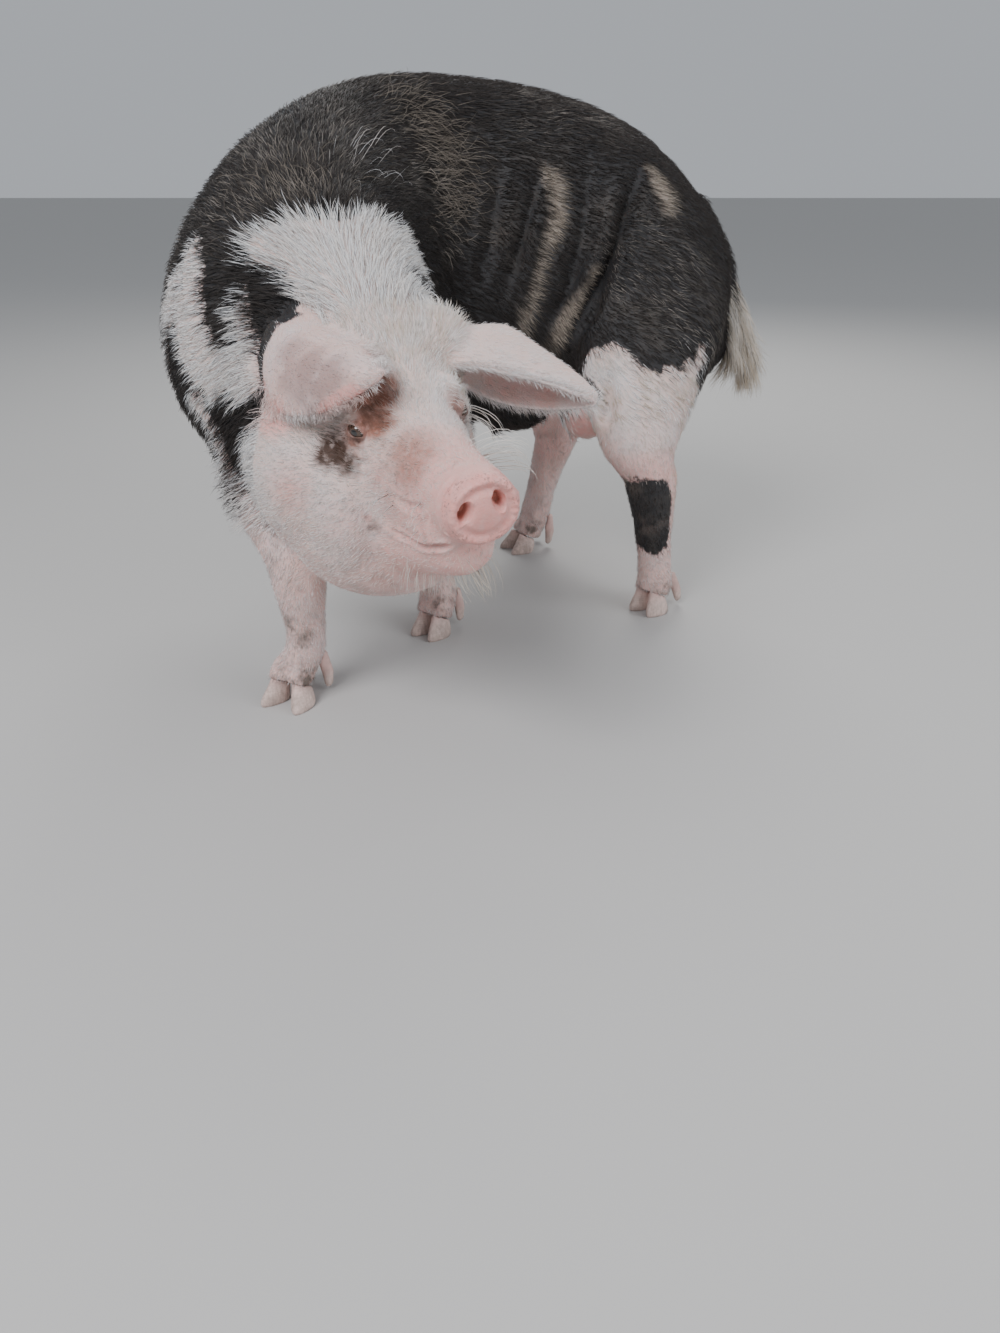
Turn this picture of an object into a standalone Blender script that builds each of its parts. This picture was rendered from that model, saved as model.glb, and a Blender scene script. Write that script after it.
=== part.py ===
"""A grown sow standing with its body bent round to the left, life size.

Metres, +Z up. The floor is z = 0. The rump points to +X, the body bends round
by way of -X, and the head looks to -Y and a little to +X. The places below are
measured from a point on the floor in front of the animal; recentre() then moves
the whole body so that the middle of its box stands over the origin.
The flesh is modelled whole from lofts and muscle forms, then parted by thin cuts.
"""

import math

import bmesh
import bpy
from mathutils import Matrix, Vector

# ---- driving dimensions -------------------------------------------------------------
voxel = 0.009  # grain of the whole body before it is thinned out
gap = 0.0004  # width of the cuts between the parts
spurGap = 0.0007  # the same between a leg and its dewclaws
ringSides = 28
bodyScale = 0.94  # from the lengths below to a sow of this weight
fleshShare = 0.0372  # share of the fused faces that stay
fuseCalm = 8  # rounds of softening where the forms meet
clearance = 0.0005  # kept free between the body and what grows out of it
headReach, headFade = 0.26, 0.20  # round the eyes the faces stay small, and grow over the fade

# ---- the bent spine: x, y, top, bottom, half width on the inner left, on the outer right
spine = (
    (0.446, 1.975, 0.590, 0.470, 0.060, 0.060),
    (0.405, 1.982, 0.690, 0.430, 0.125, 0.125),
    (0.330, 1.986, 0.795, 0.410, 0.165, 0.160),
    (0.230, 2.004, 0.872, 0.400, 0.188, 0.185),
    (0.090, 2.029, 0.922, 0.370, 0.188, 0.208),
    (-0.080, 2.028, 0.947, 0.335, 0.188, 0.224),
    (-0.219, 1.938, 0.942, 0.330, 0.195, 0.232),
    (-0.294, 1.786, 0.902, 0.340, 0.200, 0.246),
    (-0.298, 1.642, 0.839, 0.335, 0.195, 0.240),
    (-0.250, 1.530, 0.760, 0.310, 0.180, 0.185),
    (-0.190, 1.420, 0.665, 0.290, 0.150, 0.135),
    (-0.150, 1.340, 0.590, 0.310, 0.110, 0.115),
)
widestShare, backPeak = 0.38, 1.06  # where a section is widest, how sharp its upper outer quarter is


def blendStations(rows, steps):
    """Smooth rows between the given ones, by Catmull-Rom."""
    found = []
    for i in range(len(rows) - 1):
        a = rows[max(i - 1, 0)]
        b, c = rows[i], rows[i + 1]
        d = rows[min(i + 2, len(rows) - 1)]
        for k in range(steps):
            t = k / steps
            found.append(
                tuple(
                    0.5
                    * (
                        2 * q
                        + (r - p) * t
                        + (2 * p - 5 * q + 4 * r - s) * t * t
                        + (3 * q - p - 3 * r + s) * t**3
                    )
                    for p, q, r, s in zip(a, b, c, d)
                )
            )
    found.append(tuple(rows[-1]))
    return found


def loft(name, rings):
    """A closed tube through rings of points, with its ends filled."""
    bm = bmesh.new()
    rows = [[bm.verts.new(p) for p in ring] for ring in rings]
    count = len(rings[0])
    for low, high in zip(rows, rows[1:]):
        for i in range(count):
            j = (i + 1) % count
            bm.faces.new((low[i], low[j], high[j], high[i]))
    bm.faces.new(list(reversed(rows[0])))
    bm.faces.new(rows[-1])
    bmesh.ops.recalc_face_normals(bm, faces=bm.faces)
    return objectFrom(bm, name)


def ellipsoid(name, centre, radii, turn=None, sides=24):
    """A muscle or fat form. turn is the 3x3 frame its radii lie along."""
    bm = bmesh.new()
    bmesh.ops.create_uvsphere(bm, u_segments=sides, v_segments=sides // 2, radius=1.0)
    place = Matrix.Translation(centre)
    if turn is not None:
        place = place @ turn.to_4x4()
    bmesh.ops.transform(bm, matrix=place @ Matrix.Diagonal((*radii, 1.0)), verts=bm.verts)
    return objectFrom(bm, name)


def section(centre, side, up, left, right, above, below, square=0.92, peak=None):
    """One ring: an egg whose four quarters have their own reach."""
    peak = peak or square
    ring = []
    for i in range(ringSides):
        a = 2 * math.pi * i / ringSides
        c, s = math.cos(a), math.sin(a)
        power = peak if s > 0 and c < 0 else square
        across = math.copysign(abs(c) ** power, c) * (left if c > 0 else right)
        rise = math.copysign(abs(s) ** power, s) * (above if s > 0 else below)
        ring.append(centre + side * across + up * rise)
    return ring


def makeTrunk():
    rows = blendStations(spine, 4)
    rings = []
    for i, (x, y, top, bottom, left, right) in enumerate(rows):
        before, after = rows[max(i - 1, 0)], rows[min(i + 1, len(rows) - 1)]
        ahead = Vector((after[0] - before[0], after[1] - before[1], 0)).normalized()
        side = Vector((-ahead.y, ahead.x, 0))
        middle = bottom + (top - bottom) * widestShare
        rings.append(
            section(
                Vector((x, y, middle)), side, Vector((0, 0, 1)), left, right, top - middle, middle - bottom,
                peak=backPeak,
            )
        )
    return loft("trunkForm", rings)


# ---- legs: height, forward, outward, half length, half width -------------------------
foreLeg = (
    (0.640, -0.030, -0.050, 0.110, 0.055),
    (0.560, -0.010, -0.030, 0.125, 0.075),
    (0.470, 0.015, -0.008, 0.105, 0.080),
    (0.390, 0.000, 0.006, 0.082, 0.070),
    (0.310, 0.005, 0.001, 0.062, 0.061),
    (0.250, 0.010, -0.006, 0.049, 0.049),
    (0.205, 0.014, -0.006, 0.042, 0.043),
    (0.150, 0.004, -0.003, 0.034, 0.036),
    (0.110, 0.000, 0.000, 0.035, 0.034),
    (0.080, 0.002, 0.000, 0.037, 0.038),
    (0.055, 0.008, 0.000, 0.035, 0.039),
    (0.032, 0.020, 0.000, 0.033, 0.038),
    (0.012, 0.026, 0.000, 0.030, 0.036),
)
hindLeg = (
    (0.760, -0.020, -0.090, 0.080, 0.035),
    (0.700, -0.020, -0.060, 0.110, 0.060),
    (0.620, -0.015, -0.030, 0.130, 0.085),
    (0.530, 0.001, -0.005, 0.136, 0.092),
    (0.450, 0.012, 0.000, 0.124, 0.082),
    (0.380, 0.007, 0.000, 0.097, 0.066),
    (0.320, 0.005, 0.000, 0.071, 0.053),
    (0.275, -0.022, 0.000, 0.058, 0.047),
    (0.235, -0.024, 0.000, 0.049, 0.043),
    (0.170, -0.012, 0.000, 0.038, 0.036),
    (0.115, -0.004, 0.000, 0.034, 0.035),
    (0.080, 0.000, 0.000, 0.036, 0.036),
    (0.055, 0.006, 0.000, 0.034, 0.037),
    (0.032, 0.018, 0.000, 0.032, 0.036),
    (0.012, 0.024, 0.000, 0.029, 0.034),
)

# foot, headings of foot and thigh in degrees from -Y towards +X, shoulder or hip,
# how far the knee stands ahead of the foot, which side of the body
legs = {
    "front_right": (foreLeg, (-0.343, 1.440, 0), (-24.0, 6.0), (-0.430, 1.640, 0.640), 0.0, -1),
    "front_left": (foreLeg, (-0.114, 1.705, 0), (-36.0, 6.0), (-0.170, 1.700, 0.640), 0.0, 1),
    "hind_left": (hindLeg, (0.328, 1.812, 0), (-46.0, -78.0), (0.300, 1.890, 0.760), 0.075, 1),
    "hind_right": (hindLeg, (0.070, 2.149, 0), (-60.0, -84.0), (0.150, 2.135, 0.760), -0.040, -1),
}
# how far left of its foot a shank stands, half the distance between the claws, how far they splay in degrees
stances = {
    "front_right": (0.026, 0.0205, 11.0),
    "front_left": (-0.009, 0.0180, 3.0),
    "hind_left": (0.000, 0.0175, 4.0),
    "hind_right": (0.000, 0.0195, 6.0),
}
shankFrom, shankFull, shankTo, shankEnd = 0.04, 0.12, 0.21, 0.36  # the heights between which it does
twistFrom, twistTo = 0.16, 0.52  # a leg turns from its foot's heading to its thigh's between these
kneeHeight = 0.25
plumbHeight = 0.22  # below it a leg stands straight over its foot


def eased(value, low, high):
    share = max(0.0, min(1.0, (value - low) / (high - low)))
    return share * share * (3 - 2 * share)


def heading(degrees):
    """The direction that a heading points in, and its left."""
    turn = math.radians(degrees)
    ahead = Vector((math.sin(turn), -math.cos(turn), 0))
    return ahead, Vector((-ahead.y, ahead.x, 0))


def makeLeg(name, stations, foot, turns, root, stride, hand):
    shift = stances[name][0]
    rings = []
    rows = blendStations(stations, 3)
    tall = rows[0][0]
    foot, root = Vector(foot), Vector(root)
    for z, fore, wide, long, broad in rows:
        share = eased(z, plumbHeight, tall)
        ahead, left = heading(turns[0] + (turns[1] - turns[0]) * eased(z, twistFrom, twistTo))
        lean = (root - foot) * share
        lean.z = 0
        fore += stride * min(1.0, z / kneeHeight) * (1 - share)
        over = shift * eased(z, shankFrom, shankFull) * (1 - eased(z, shankTo, shankEnd))
        centre = foot + lean + ahead * fore + left * (hand * wide + over) + Vector((0, 0, z))
        ring = []
        for k in range(ringSides):
            a = 2 * math.pi * k / ringSides
            ring.append(centre + ahead * (math.cos(a) * long) + left * (math.sin(a) * broad))
        rings.append(ring)
    return loft("leg_" + name, rings)


# ---- the head, in its own frame: ahead, left and up from between the eyes
eyeMiddle = Vector((-0.127, 1.300, 0.507))
headHeading, headDip, headRoll = 27.0, 8.0, -5.0


def headFrame():
    turn, dip, roll = (math.radians(v) for v in (headHeading, headDip, headRoll))
    ahead = Vector((math.sin(turn) * math.cos(dip), -math.cos(turn) * math.cos(dip), -math.sin(dip)))
    side = Vector((math.cos(turn), math.sin(turn), 0))
    up = ahead.cross(side)
    spin = Matrix.Rotation(-roll, 3, ahead)
    return Matrix((ahead, spin @ side, spin @ up)).transposed()


# ahead, top, bottom, half width, squareness
skull = (
    (-0.190, 0.070, -0.180, 0.120, 0.90),
    (-0.110, 0.098, -0.190, 0.124, 0.85),
    (-0.050, 0.082, -0.190, 0.108, 0.85),
    (0.000, 0.052, -0.180, 0.090, 0.85),
    (0.050, 0.030, -0.155, 0.072, 0.85),
    (0.100, 0.020, -0.115, 0.060, 0.82),
    (0.150, 0.016, -0.088, 0.053, 0.82),
    (0.195, 0.018, -0.080, 0.050, 0.88),
    (0.226, 0.022, -0.078, 0.049, 0.95),
)
jaw = (
    (-0.100, -0.080, -0.250, 0.115, 0.90),
    (-0.030, -0.080, -0.245, 0.105, 0.90),
    (0.050, -0.080, -0.215, 0.076, 0.90),
    (0.110, -0.075, -0.182, 0.056, 0.90),
    (0.160, -0.070, -0.160, 0.049, 0.95),
    (0.198, -0.075, -0.138, 0.036, 0.95),
)
# fat and muscle over the bone: place and reach, both ahead, left, up; paired ones stand on both sides.
# On the left, inside the bend of the neck, cheek and jowl are pressed flatter.
headForms = (
    ("rightCheek", (-0.060, -0.082, -0.130), (0.110, 0.070, 0.110), False),
    ("leftCheek", (-0.066, 0.058, -0.130), (0.104, 0.062, 0.108), False),
    ("rightJowl", (-0.130, -0.100, -0.110), (0.120, 0.095, 0.130), False),
    ("leftJowl", (-0.140, 0.070, -0.118), (0.116, 0.082, 0.120), False),
    ("brow", (-0.012, 0.060, 0.030), (0.034, 0.026, 0.018), True),
    ("leftEarRoot", (-0.120, 0.092, 0.050), (0.068, 0.060, 0.056), False),
    ("rightEarRoot", (-0.125, -0.078, 0.028), (0.052, 0.045, 0.042), False),
    ("lip", (0.120, 0.034, -0.080), (0.080, 0.027, 0.028), True),
    ("dewlap", (-0.085, -0.010, -0.190), (0.150, 0.150, 0.105), False),
    ("nose", (0.238, 0.002, -0.028), (0.014, 0.055, 0.052), False),
)
eyePlace, eyeRadius = (0.013, 0.0700, 0.003), 0.0135
# reach and lean of a nostril, and where the left and the right one stand on the disc
nostril = ((0.026, 0.0085, 0.0155), 24.0)
nostrilPlaces = {1: (0.256, 0.0175, -0.0145), -1: (0.256, -0.0265, -0.0215)}


def headPlace(ahead, left, up):
    return eyeMiddle + headFrame() @ Vector((ahead, left, up))


def tubeAlong(name, stations):
    frame = headFrame()
    rings = []
    for ahead, top, bottom, wide, square in blendStations(stations, 3):
        middle = bottom + (top - bottom) * 0.5
        rings.append(
            section(
                headPlace(ahead, 0, middle), frame @ Vector((0, 1, 0)), frame @ Vector((0, 0, 1)),
                wide, wide, top - middle, middle - bottom, square,
            )
        )
    return loft(name, rings)


def makeHead():
    frame = headFrame()
    made = [tubeAlong("skullForm", skull), tubeAlong("jawForm", jaw)]
    for name, place, reach, paired in headForms:
        for hand in (1, -1) if paired else (1,):
            centre = headPlace(place[0], place[1] * hand, place[2])
            made.append(ellipsoid(name + "Form", centre, reach, frame))
    return made


# ---- ears: the two edges of each run from the base to the tip, then how deep it is cupped
# at the base and past the middle
ears = {
    "left": (
        ((-0.072, 1.378, 0.560), (0.020, 1.362, 0.562), (0.144, 1.378, 0.506)),
        ((-0.094, 1.462, 0.540), (0.010, 1.500, 0.450), (0.144, 1.378, 0.506)),
        (0.066, 0.116),
    ),
    "right": (
        ((-0.215, 1.430, 0.595), (-0.174, 1.340, 0.593), (-0.138, 1.220, 0.578)),
        ((-0.340, 1.410, 0.528), (-0.288, 1.238, 0.472), (-0.138, 1.220, 0.578)),
        (0.071, 0.071),
    ),
}
earThick = 0.008
earTip = 0.97  # share of the edges' run where the leaf ends
cupReach = 0.4  # share of the run where the second depth is reached


def bezier(points, t):
    a, b, c = (Vector(p) for p in points)
    return a * (1 - t) ** 2 + b * 2 * t * (1 - t) + c * t * t


def makeEar(name, front, back, cup, along=9, across=8):
    """A cupped leaf between its two edges, thickened to a closed body."""
    bm = bmesh.new()
    rows = []
    for i in range(along + 1):
        t = earTip * i / along
        low, high = bezier(back, t), bezier(front, t)
        chord = high - low
        run = bezier(front, t + 0.02) + bezier(back, t + 0.02) - high - low
        deep = cup[0] + (cup[1] - cup[0]) * eased(t, 0.0, cupReach)
        swell = chord.cross(run).normalized() * deep * (1 - t) ** 0.6
        if swell.z < 0:
            swell = -swell
        row = []
        for k in range(across + 1):
            s = k / across
            row.append(bm.verts.new(low + chord * s + swell * (4 * s * (1 - s))))
        rows.append(row)
    for low, high in zip(rows, rows[1:]):
        for k in range(across):
            bm.faces.new((low[k], low[k + 1], high[k + 1], high[k]))
    bmesh.ops.recalc_face_normals(bm, faces=bm.faces)
    obj = objectFrom(bm, name)
    thick = obj.modifiers.new("thick", "SOLIDIFY")
    thick.thickness = earThick
    thick.offset = 0.0
    bake(obj)
    return obj


# ---- hooves: height, ahead, half length, half width of one claw
claw = (
    (0.000, 0.037, 0.0285, 0.0168),
    (0.005, 0.037, 0.0300, 0.0180),
    (0.018, 0.033, 0.0280, 0.0180),
    (0.036, 0.026, 0.0250, 0.0175),
    (0.052, 0.021, 0.0230, 0.0165),
    (0.064, 0.018, 0.0200, 0.0150),
)
dewclaw = (
    (0.008, -0.034, 0.0040, 0.0040),
    (0.014, -0.035, 0.0080, 0.0070),
    (0.038, -0.034, 0.0110, 0.0095),
    (0.080, -0.022, 0.0115, 0.0100),
)
dewSpread, dewFollow = 0.019, 0.4  # dewclaws follow their shank's shift by this share
clawTaper = 0.38  # how much narrower a claw is at its toe
# the cut between leg and hoof: height, how far ahead of the leg's line, fall towards the heel
hoofTop, hoofAhead, hoofLean = 0.040, 0.030, 24.0


def makeClaw(name, rows, foot, turn, stride, offset, splay, sides=14):
    ahead, left = heading(turn)
    point = Matrix.Rotation(math.radians(splay), 3, "Z")
    foot, lead, wide = Vector(foot), point @ ahead, point @ left
    rings = []
    for z, fore, long, broad in rows:
        fore += stride * z / kneeHeight
        centre = foot + left * offset + lead * fore + Vector((0, 0, z))
        ring = []
        for k in range(sides):
            a = 2 * math.pi * k / sides
            taper = 1.0 - clawTaper * math.cos(a)
            ring.append(centre + lead * (math.cos(a) * long) + wide * (math.sin(a) * broad * taper))
        rings.append(ring)
    return loft(name, rings)


# ---- tail: a line and its radii, the last rows are the tuft
tailLine = (
    (0.380, 1.975, 0.690, 0.024),
    (0.412, 1.970, 0.655, 0.023),
    (0.432, 1.960, 0.610, 0.017),
    (0.450, 1.955, 0.560, 0.015),
    (0.470, 1.955, 0.510, 0.019),
    (0.484, 1.955, 0.460, 0.015),
    (0.484, 1.955, 0.416, 0.005),
)


def makeTail(sides=12):
    rings = []
    rows = blendStations(tailLine, 3)
    for i, (x, y, z, r) in enumerate(rows):
        before, after = rows[max(i - 1, 0)], rows[min(i + 1, len(rows) - 1)]
        run = Vector([b - a for a, b in zip(before[:3], after[:3])]).normalized()
        side = run.cross(Vector((0, 1, 0))).normalized()
        up = side.cross(run)
        ring = []
        for k in range(sides):
            a = 2 * math.pi * k / sides
            ring.append(Vector((x, y, z)) + side * (math.cos(a) * r) + up * (math.sin(a) * r))
        rings.append(ring)
    return loft("tail", rings)


# udder: place and reach of each swelling under the belly, from the groin forwards
udder = (
    ((0.172, 1.920, 0.388), (0.060, 0.066, 0.076)),
    ((0.170, 2.060, 0.420), (0.075, 0.070, 0.070)),
    ((0.020, 1.940, 0.380), (0.080, 0.065, 0.050)),
    ((0.020, 2.060, 0.385), (0.080, 0.065, 0.050)),
    ((-0.130, 1.880, 0.350), (0.080, 0.065, 0.040)),
    ((-0.110, 2.020, 0.350), (0.080, 0.065, 0.040)),
)


# ---- tools: everything below works on whole objects
def objectFrom(bm, name):
    mesh = bpy.data.meshes.new(name)
    bm.to_mesh(mesh)
    bm.free()
    obj = bpy.data.objects.new(name, mesh)
    bpy.context.scene.collection.objects.link(obj)
    return obj


def bake(obj):
    """Applies every modifier."""
    graph = bpy.context.evaluated_depsgraph_get()
    mesh = bpy.data.meshes.new_from_object(obj.evaluated_get(graph))
    obj.modifiers.clear()
    old = obj.data
    obj.data = mesh
    bpy.data.meshes.remove(old)


def copyOf(obj, name):
    twin = obj.copy()
    twin.data = obj.data.copy()
    twin.name = name
    bpy.context.scene.collection.objects.link(twin)
    return twin


def boolean(obj, other, how):
    change = obj.modifiers.new(how.lower(), "BOOLEAN")
    change.operation = how
    change.object = other
    change.solver = "EXACT"
    bake(obj)


def box(frame, place, low, high):
    """A box from low to high along the axes of frame, at place."""
    bm = bmesh.new()
    bmesh.ops.create_cube(bm, size=1.0)
    low, high = Vector(low), Vector(high)
    size = high - low
    matrix = Matrix.Translation(place) @ frame.to_4x4() @ Matrix.Translation((low + high) / 2)
    bmesh.ops.transform(bm, matrix=matrix @ Matrix.Diagonal((*size, 1.0)), verts=bm.verts)
    return objectFrom(bm, "cutter")


def part(rest, name, frame, place, low, high):
    """Takes what lies in the box out of rest, leaving a thin gap, and returns it."""
    piece = copyOf(rest, name)
    half = Vector((gap / 2, gap / 2, gap / 2))
    for obj, grow, how in ((piece, -half, "INTERSECT"), (rest, half, "DIFFERENCE")):
        cutter = box(frame, place, Vector(low) - grow, Vector(high) + grow)
        boolean(obj, cutter, how)
        bpy.data.objects.remove(cutter)
    largest(piece)
    largest(rest)
    return piece


def largest(obj):
    """Keeps the biggest of the bodies that a cut leaves."""
    bm = bmesh.new()
    bm.from_mesh(obj.data)
    left, groups = set(bm.verts), []
    while left:
        first = left.pop()
        found, edge = {first}, [first]
        while edge:
            for link in edge.pop().link_edges:
                for vert in link.verts:
                    if vert not in found:
                        found.add(vert)
                        edge.append(vert)
        left -= found
        groups.append(found)
    groups.sort(key=len, reverse=True)
    for group in groups[1:]:
        bmesh.ops.delete(bm, geom=list(group), context="VERTS")
    bm.to_mesh(obj.data)
    bm.free()


def swollen(obj, by):
    twin = copyOf(obj, "swollen")
    swell = twin.modifiers.new("swell", "DISPLACE")
    swell.strength = by
    swell.mid_level = 0.0
    bake(twin)
    return twin


def cutAgainst(obj, other, by):
    """Removes what lies inside other, and a thin gap round it."""
    cutter = swollen(other, by)
    boolean(obj, cutter, "DIFFERENCE")
    bpy.data.objects.remove(cutter)
    largest(obj)


def clearScene():
    for obj in list(bpy.data.objects):
        bpy.data.objects.remove(obj)


def fuse(objects, name, grain, calm):
    """Joins overlapping forms into one skin of even grain and softens where they meet."""
    for obj in bpy.data.objects:
        obj.select_set(obj in objects)
    bpy.context.view_layer.objects.active = objects[0]
    bpy.ops.object.join()
    whole = bpy.context.view_layer.objects.active
    whole.name = name
    remesh = whole.modifiers.new("remesh", "REMESH")
    remesh.mode = "VOXEL"
    remesh.voxel_size = grain
    smooth = whole.modifiers.new("smooth", "SMOOTH")
    smooth.factor = 0.5
    smooth.iterations = calm
    bake(whole)
    return whole


def thin(obj, share):
    """Fewer triangles: the body gives up most, the head and the feet keep theirs."""
    group = obj.vertex_groups.new(name="thin")
    for vert in obj.data.vertices:
        near = (vert.co - eyeMiddle).length
        weight = min(1.0, 0.4 + 0.6 * max(0.0, near - headReach) / headFade)
        group.add([vert.index], weight, "REPLACE")
    fewer = obj.modifiers.new("fewer", "DECIMATE")
    fewer.ratio = share
    fewer.vertex_group = "thin"
    fewer.vertex_group_factor = 0.02
    fewer.use_collapse_triangulate = True
    bake(obj)
    print(obj.name, len(obj.data.polygons), "faces")


# ---- where the body is parted: frame, place, low corner and high corner of each box
def headBox():
    return headFrame(), eyeMiddle, (-0.125, -0.40, -0.29), (0.50, 0.40, 0.40)


def snoutBox():
    return headFrame(), eyeMiddle, (0.221, -0.10, -0.082), (0.50, 0.10, 0.08)


def neckBox():
    turn = Matrix.Rotation(math.radians(headHeading - 90), 3, "Z")
    return turn, Vector((eyeMiddle.x, eyeMiddle.y, 0.0)), (-0.27, -0.50, 0.20), (0.5, 0.50, 1.2)


legTop = {"front_right": 0.318, "front_left": 0.318, "hind_left": 0.390, "hind_right": 0.330}


def legBox(name):
    stations, foot, turns, root, stride, hand = legs[name]
    turn = Matrix.Rotation(math.radians(turns[0] - 90), 3, "Z")
    reach, inner, outer = (0.11, 0.09, 0.12) if stations is foreLeg else (0.20, 0.15, 0.18)
    right, left = (inner, outer) if hand > 0 else (outer, inner)
    return turn, Vector(foot), (-reach, -right, -0.10), (reach, left, legTop[name])


def hoofPlane(foot, turn):
    """Where the coronet lies, and its upward direction: it falls towards the heel."""
    ahead, left = heading(turn)
    lean = math.radians(hoofLean)
    place = Vector(foot) + ahead * hoofAhead + Vector((0, 0, hoofTop))
    return place, Vector((0, 0, math.cos(lean))) - ahead * math.sin(lean)


chestBox = (Matrix.Identity(3), Vector((0, 0, 0)), (-1.0, 1.0, 0.0), (0.04, 1.82, 1.2))
rumpBox = (Matrix.Identity(3), Vector((0, 0, 0)), (0.17, 1.0, 0.0), (1.0, 2.6, 1.2))


def sliced(obj, place, up, keepAbove):
    """Keeps one side of a plane, half the gap away from it, and closes the cut."""
    bm = bmesh.new()
    bm.from_mesh(obj.data)
    shift = up * (gap / 2 if keepAbove else -gap / 2)
    bmesh.ops.bisect_plane(
        bm, geom=bm.verts[:] + bm.edges[:] + bm.faces[:], plane_co=place + shift, plane_no=up,
        clear_inner=keepAbove, clear_outer=not keepAbove,
    )
    rim = [edge for edge in bm.edges if edge.is_boundary]
    bmesh.ops.triangle_fill(bm, edges=rim, use_beauty=True, use_dissolve=False)
    bmesh.ops.recalc_face_normals(bm, faces=bm.faces)
    bm.to_mesh(obj.data)
    bm.free()


def makeNostril(hand):
    reach, lean = nostril
    turn = headFrame() @ Matrix.Rotation(math.radians(lean * hand), 3, "X")
    return ellipsoid("nostrilForm", headPlace(*nostrilPlaces[hand]), reach, turn, sides=12)


# ---- looks: words in a node's name, then slot, colour, roughness
looks = (
    (("hoof", "dewclaw"), "horn", (0.42, 0.33, 0.27), 0.55),
    (("eye",), "eye", (0.03, 0.02, 0.015), 0.10),
    (("snout",), "snoutSkin", (0.72, 0.42, 0.38), 0.45),
    (("ear",), "earSkin", (0.66, 0.50, 0.47), 0.60),
    (("tail",), "tailHair", (0.20, 0.16, 0.13), 0.75),
    (("head", "leg", "neck"), "paleHide", (0.74, 0.64, 0.59), 0.65),
    (("",), "darkHide", (0.055, 0.050, 0.048), 0.70),
)


def paint(obj):
    """One matte hide, horn or eye material for each node, and soft shading."""
    for words, slot, colour, rough in looks:
        if obj.name.startswith(words):
            break
    material = bpy.data.materials.new(f"{slot}_{obj.name}")
    material.use_nodes = True
    shader = material.node_tree.nodes["Principled BSDF"]
    shader.inputs["Base Color"].default_value = (*colour, 1.0)
    shader.inputs["Roughness"].default_value = rough
    shader.inputs["Metallic"].default_value = 0.0
    obj.data.materials.clear()
    obj.data.materials.append(material)
    obj.data.shade_smooth()
    obj.data.set_sharp_from_angle(angle=math.radians(50))


def recentre():
    """Brings the body to its size, with the middle of its box's bottom at the origin."""
    points = [vert.co for obj in bpy.data.objects for vert in obj.data.vertices]
    low = Vector([min(p[i] for p in points) for i in range(3)])
    high = Vector([max(p[i] for p in points) for i in range(3)])
    shift = Vector((-(low.x + high.x) / 2, -(low.y + high.y) / 2, -low.z))
    for obj in bpy.data.objects:
        obj.data.transform(Matrix.Scale(bodyScale, 4) @ Matrix.Translation(shift))
    print("moved by", tuple(round(v, 4) for v in shift), "box", tuple(round(v, 4) for v in high - low))


def main():
    clearScene()
    flesh = [makeTrunk()]
    for name, leg in legs.items():
        flesh.append(makeLeg(name, *leg))
    flesh += makeHead()
    flesh += [ellipsoid("udderForm", Vector(place), reach) for place, reach in udder]
    trunk = fuse(flesh, "trunk", voxel, fuseCalm)
    thin(trunk, fleshShare)
    grown = swollen(trunk, clearance)

    for side, (front, back, cup) in ears.items():
        ear = makeEar("ear_" + side, front, back, cup)
        boolean(ear, grown, "DIFFERENCE")
        largest(ear)
    tail = makeTail()
    boolean(tail, grown, "DIFFERENCE")
    largest(tail)

    head = part(trunk, "head", *headBox())
    snout = part(head, "snout", *snoutBox())
    for hand, side in ((1, "left"), (-1, "right")):
        place = headPlace(eyePlace[0], eyePlace[1] * hand, eyePlace[2])
        eye = ellipsoid("eye_" + side, place, (eyeRadius,) * 3, sides=16)
        cutAgainst(head, eye, gap)
        pit = makeNostril(hand)
        boolean(snout, pit, "DIFFERENCE")
        bpy.data.objects.remove(pit)
    for name, (stations, foot, turns, root, stride, leftOrRight) in legs.items():
        limb = part(trunk, "leg_" + name, *legBox(name))
        turn = turns[0]
        place, up = hoofPlane(foot, turn)
        sliced(limb, place, up, True)
        for hand, side in ((1, "left"), (-1, "right")):
            over, spread, toeOut = stances[name]
            splay = hand * toeOut
            hoof = makeClaw(f"hoof_{name}_{side}", claw, foot, turn, stride, hand * spread, splay)
            sliced(hoof, place, up, False)
            spurName, offset = f"dewclaw_{name}_{side}", hand * dewSpread + over * dewFollow
            spur = makeClaw(spurName, dewclaw, foot, turn, stride, offset, -splay, sides=10)
            cutAgainst(spur, limb, spurGap)
    part(trunk, "neck", *neckBox())
    part(trunk, "chest", *chestBox)
    part(trunk, "rump", *rumpBox)
    trunk.name = "belly"
    bpy.data.objects.remove(grown)
    recentre()
    for obj in bpy.data.objects:
        paint(obj)


main()
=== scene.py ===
import math

import bpy
import numpy as np
from mathutils import Matrix, Vector
from mathutils.kdtree import KDTree


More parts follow.
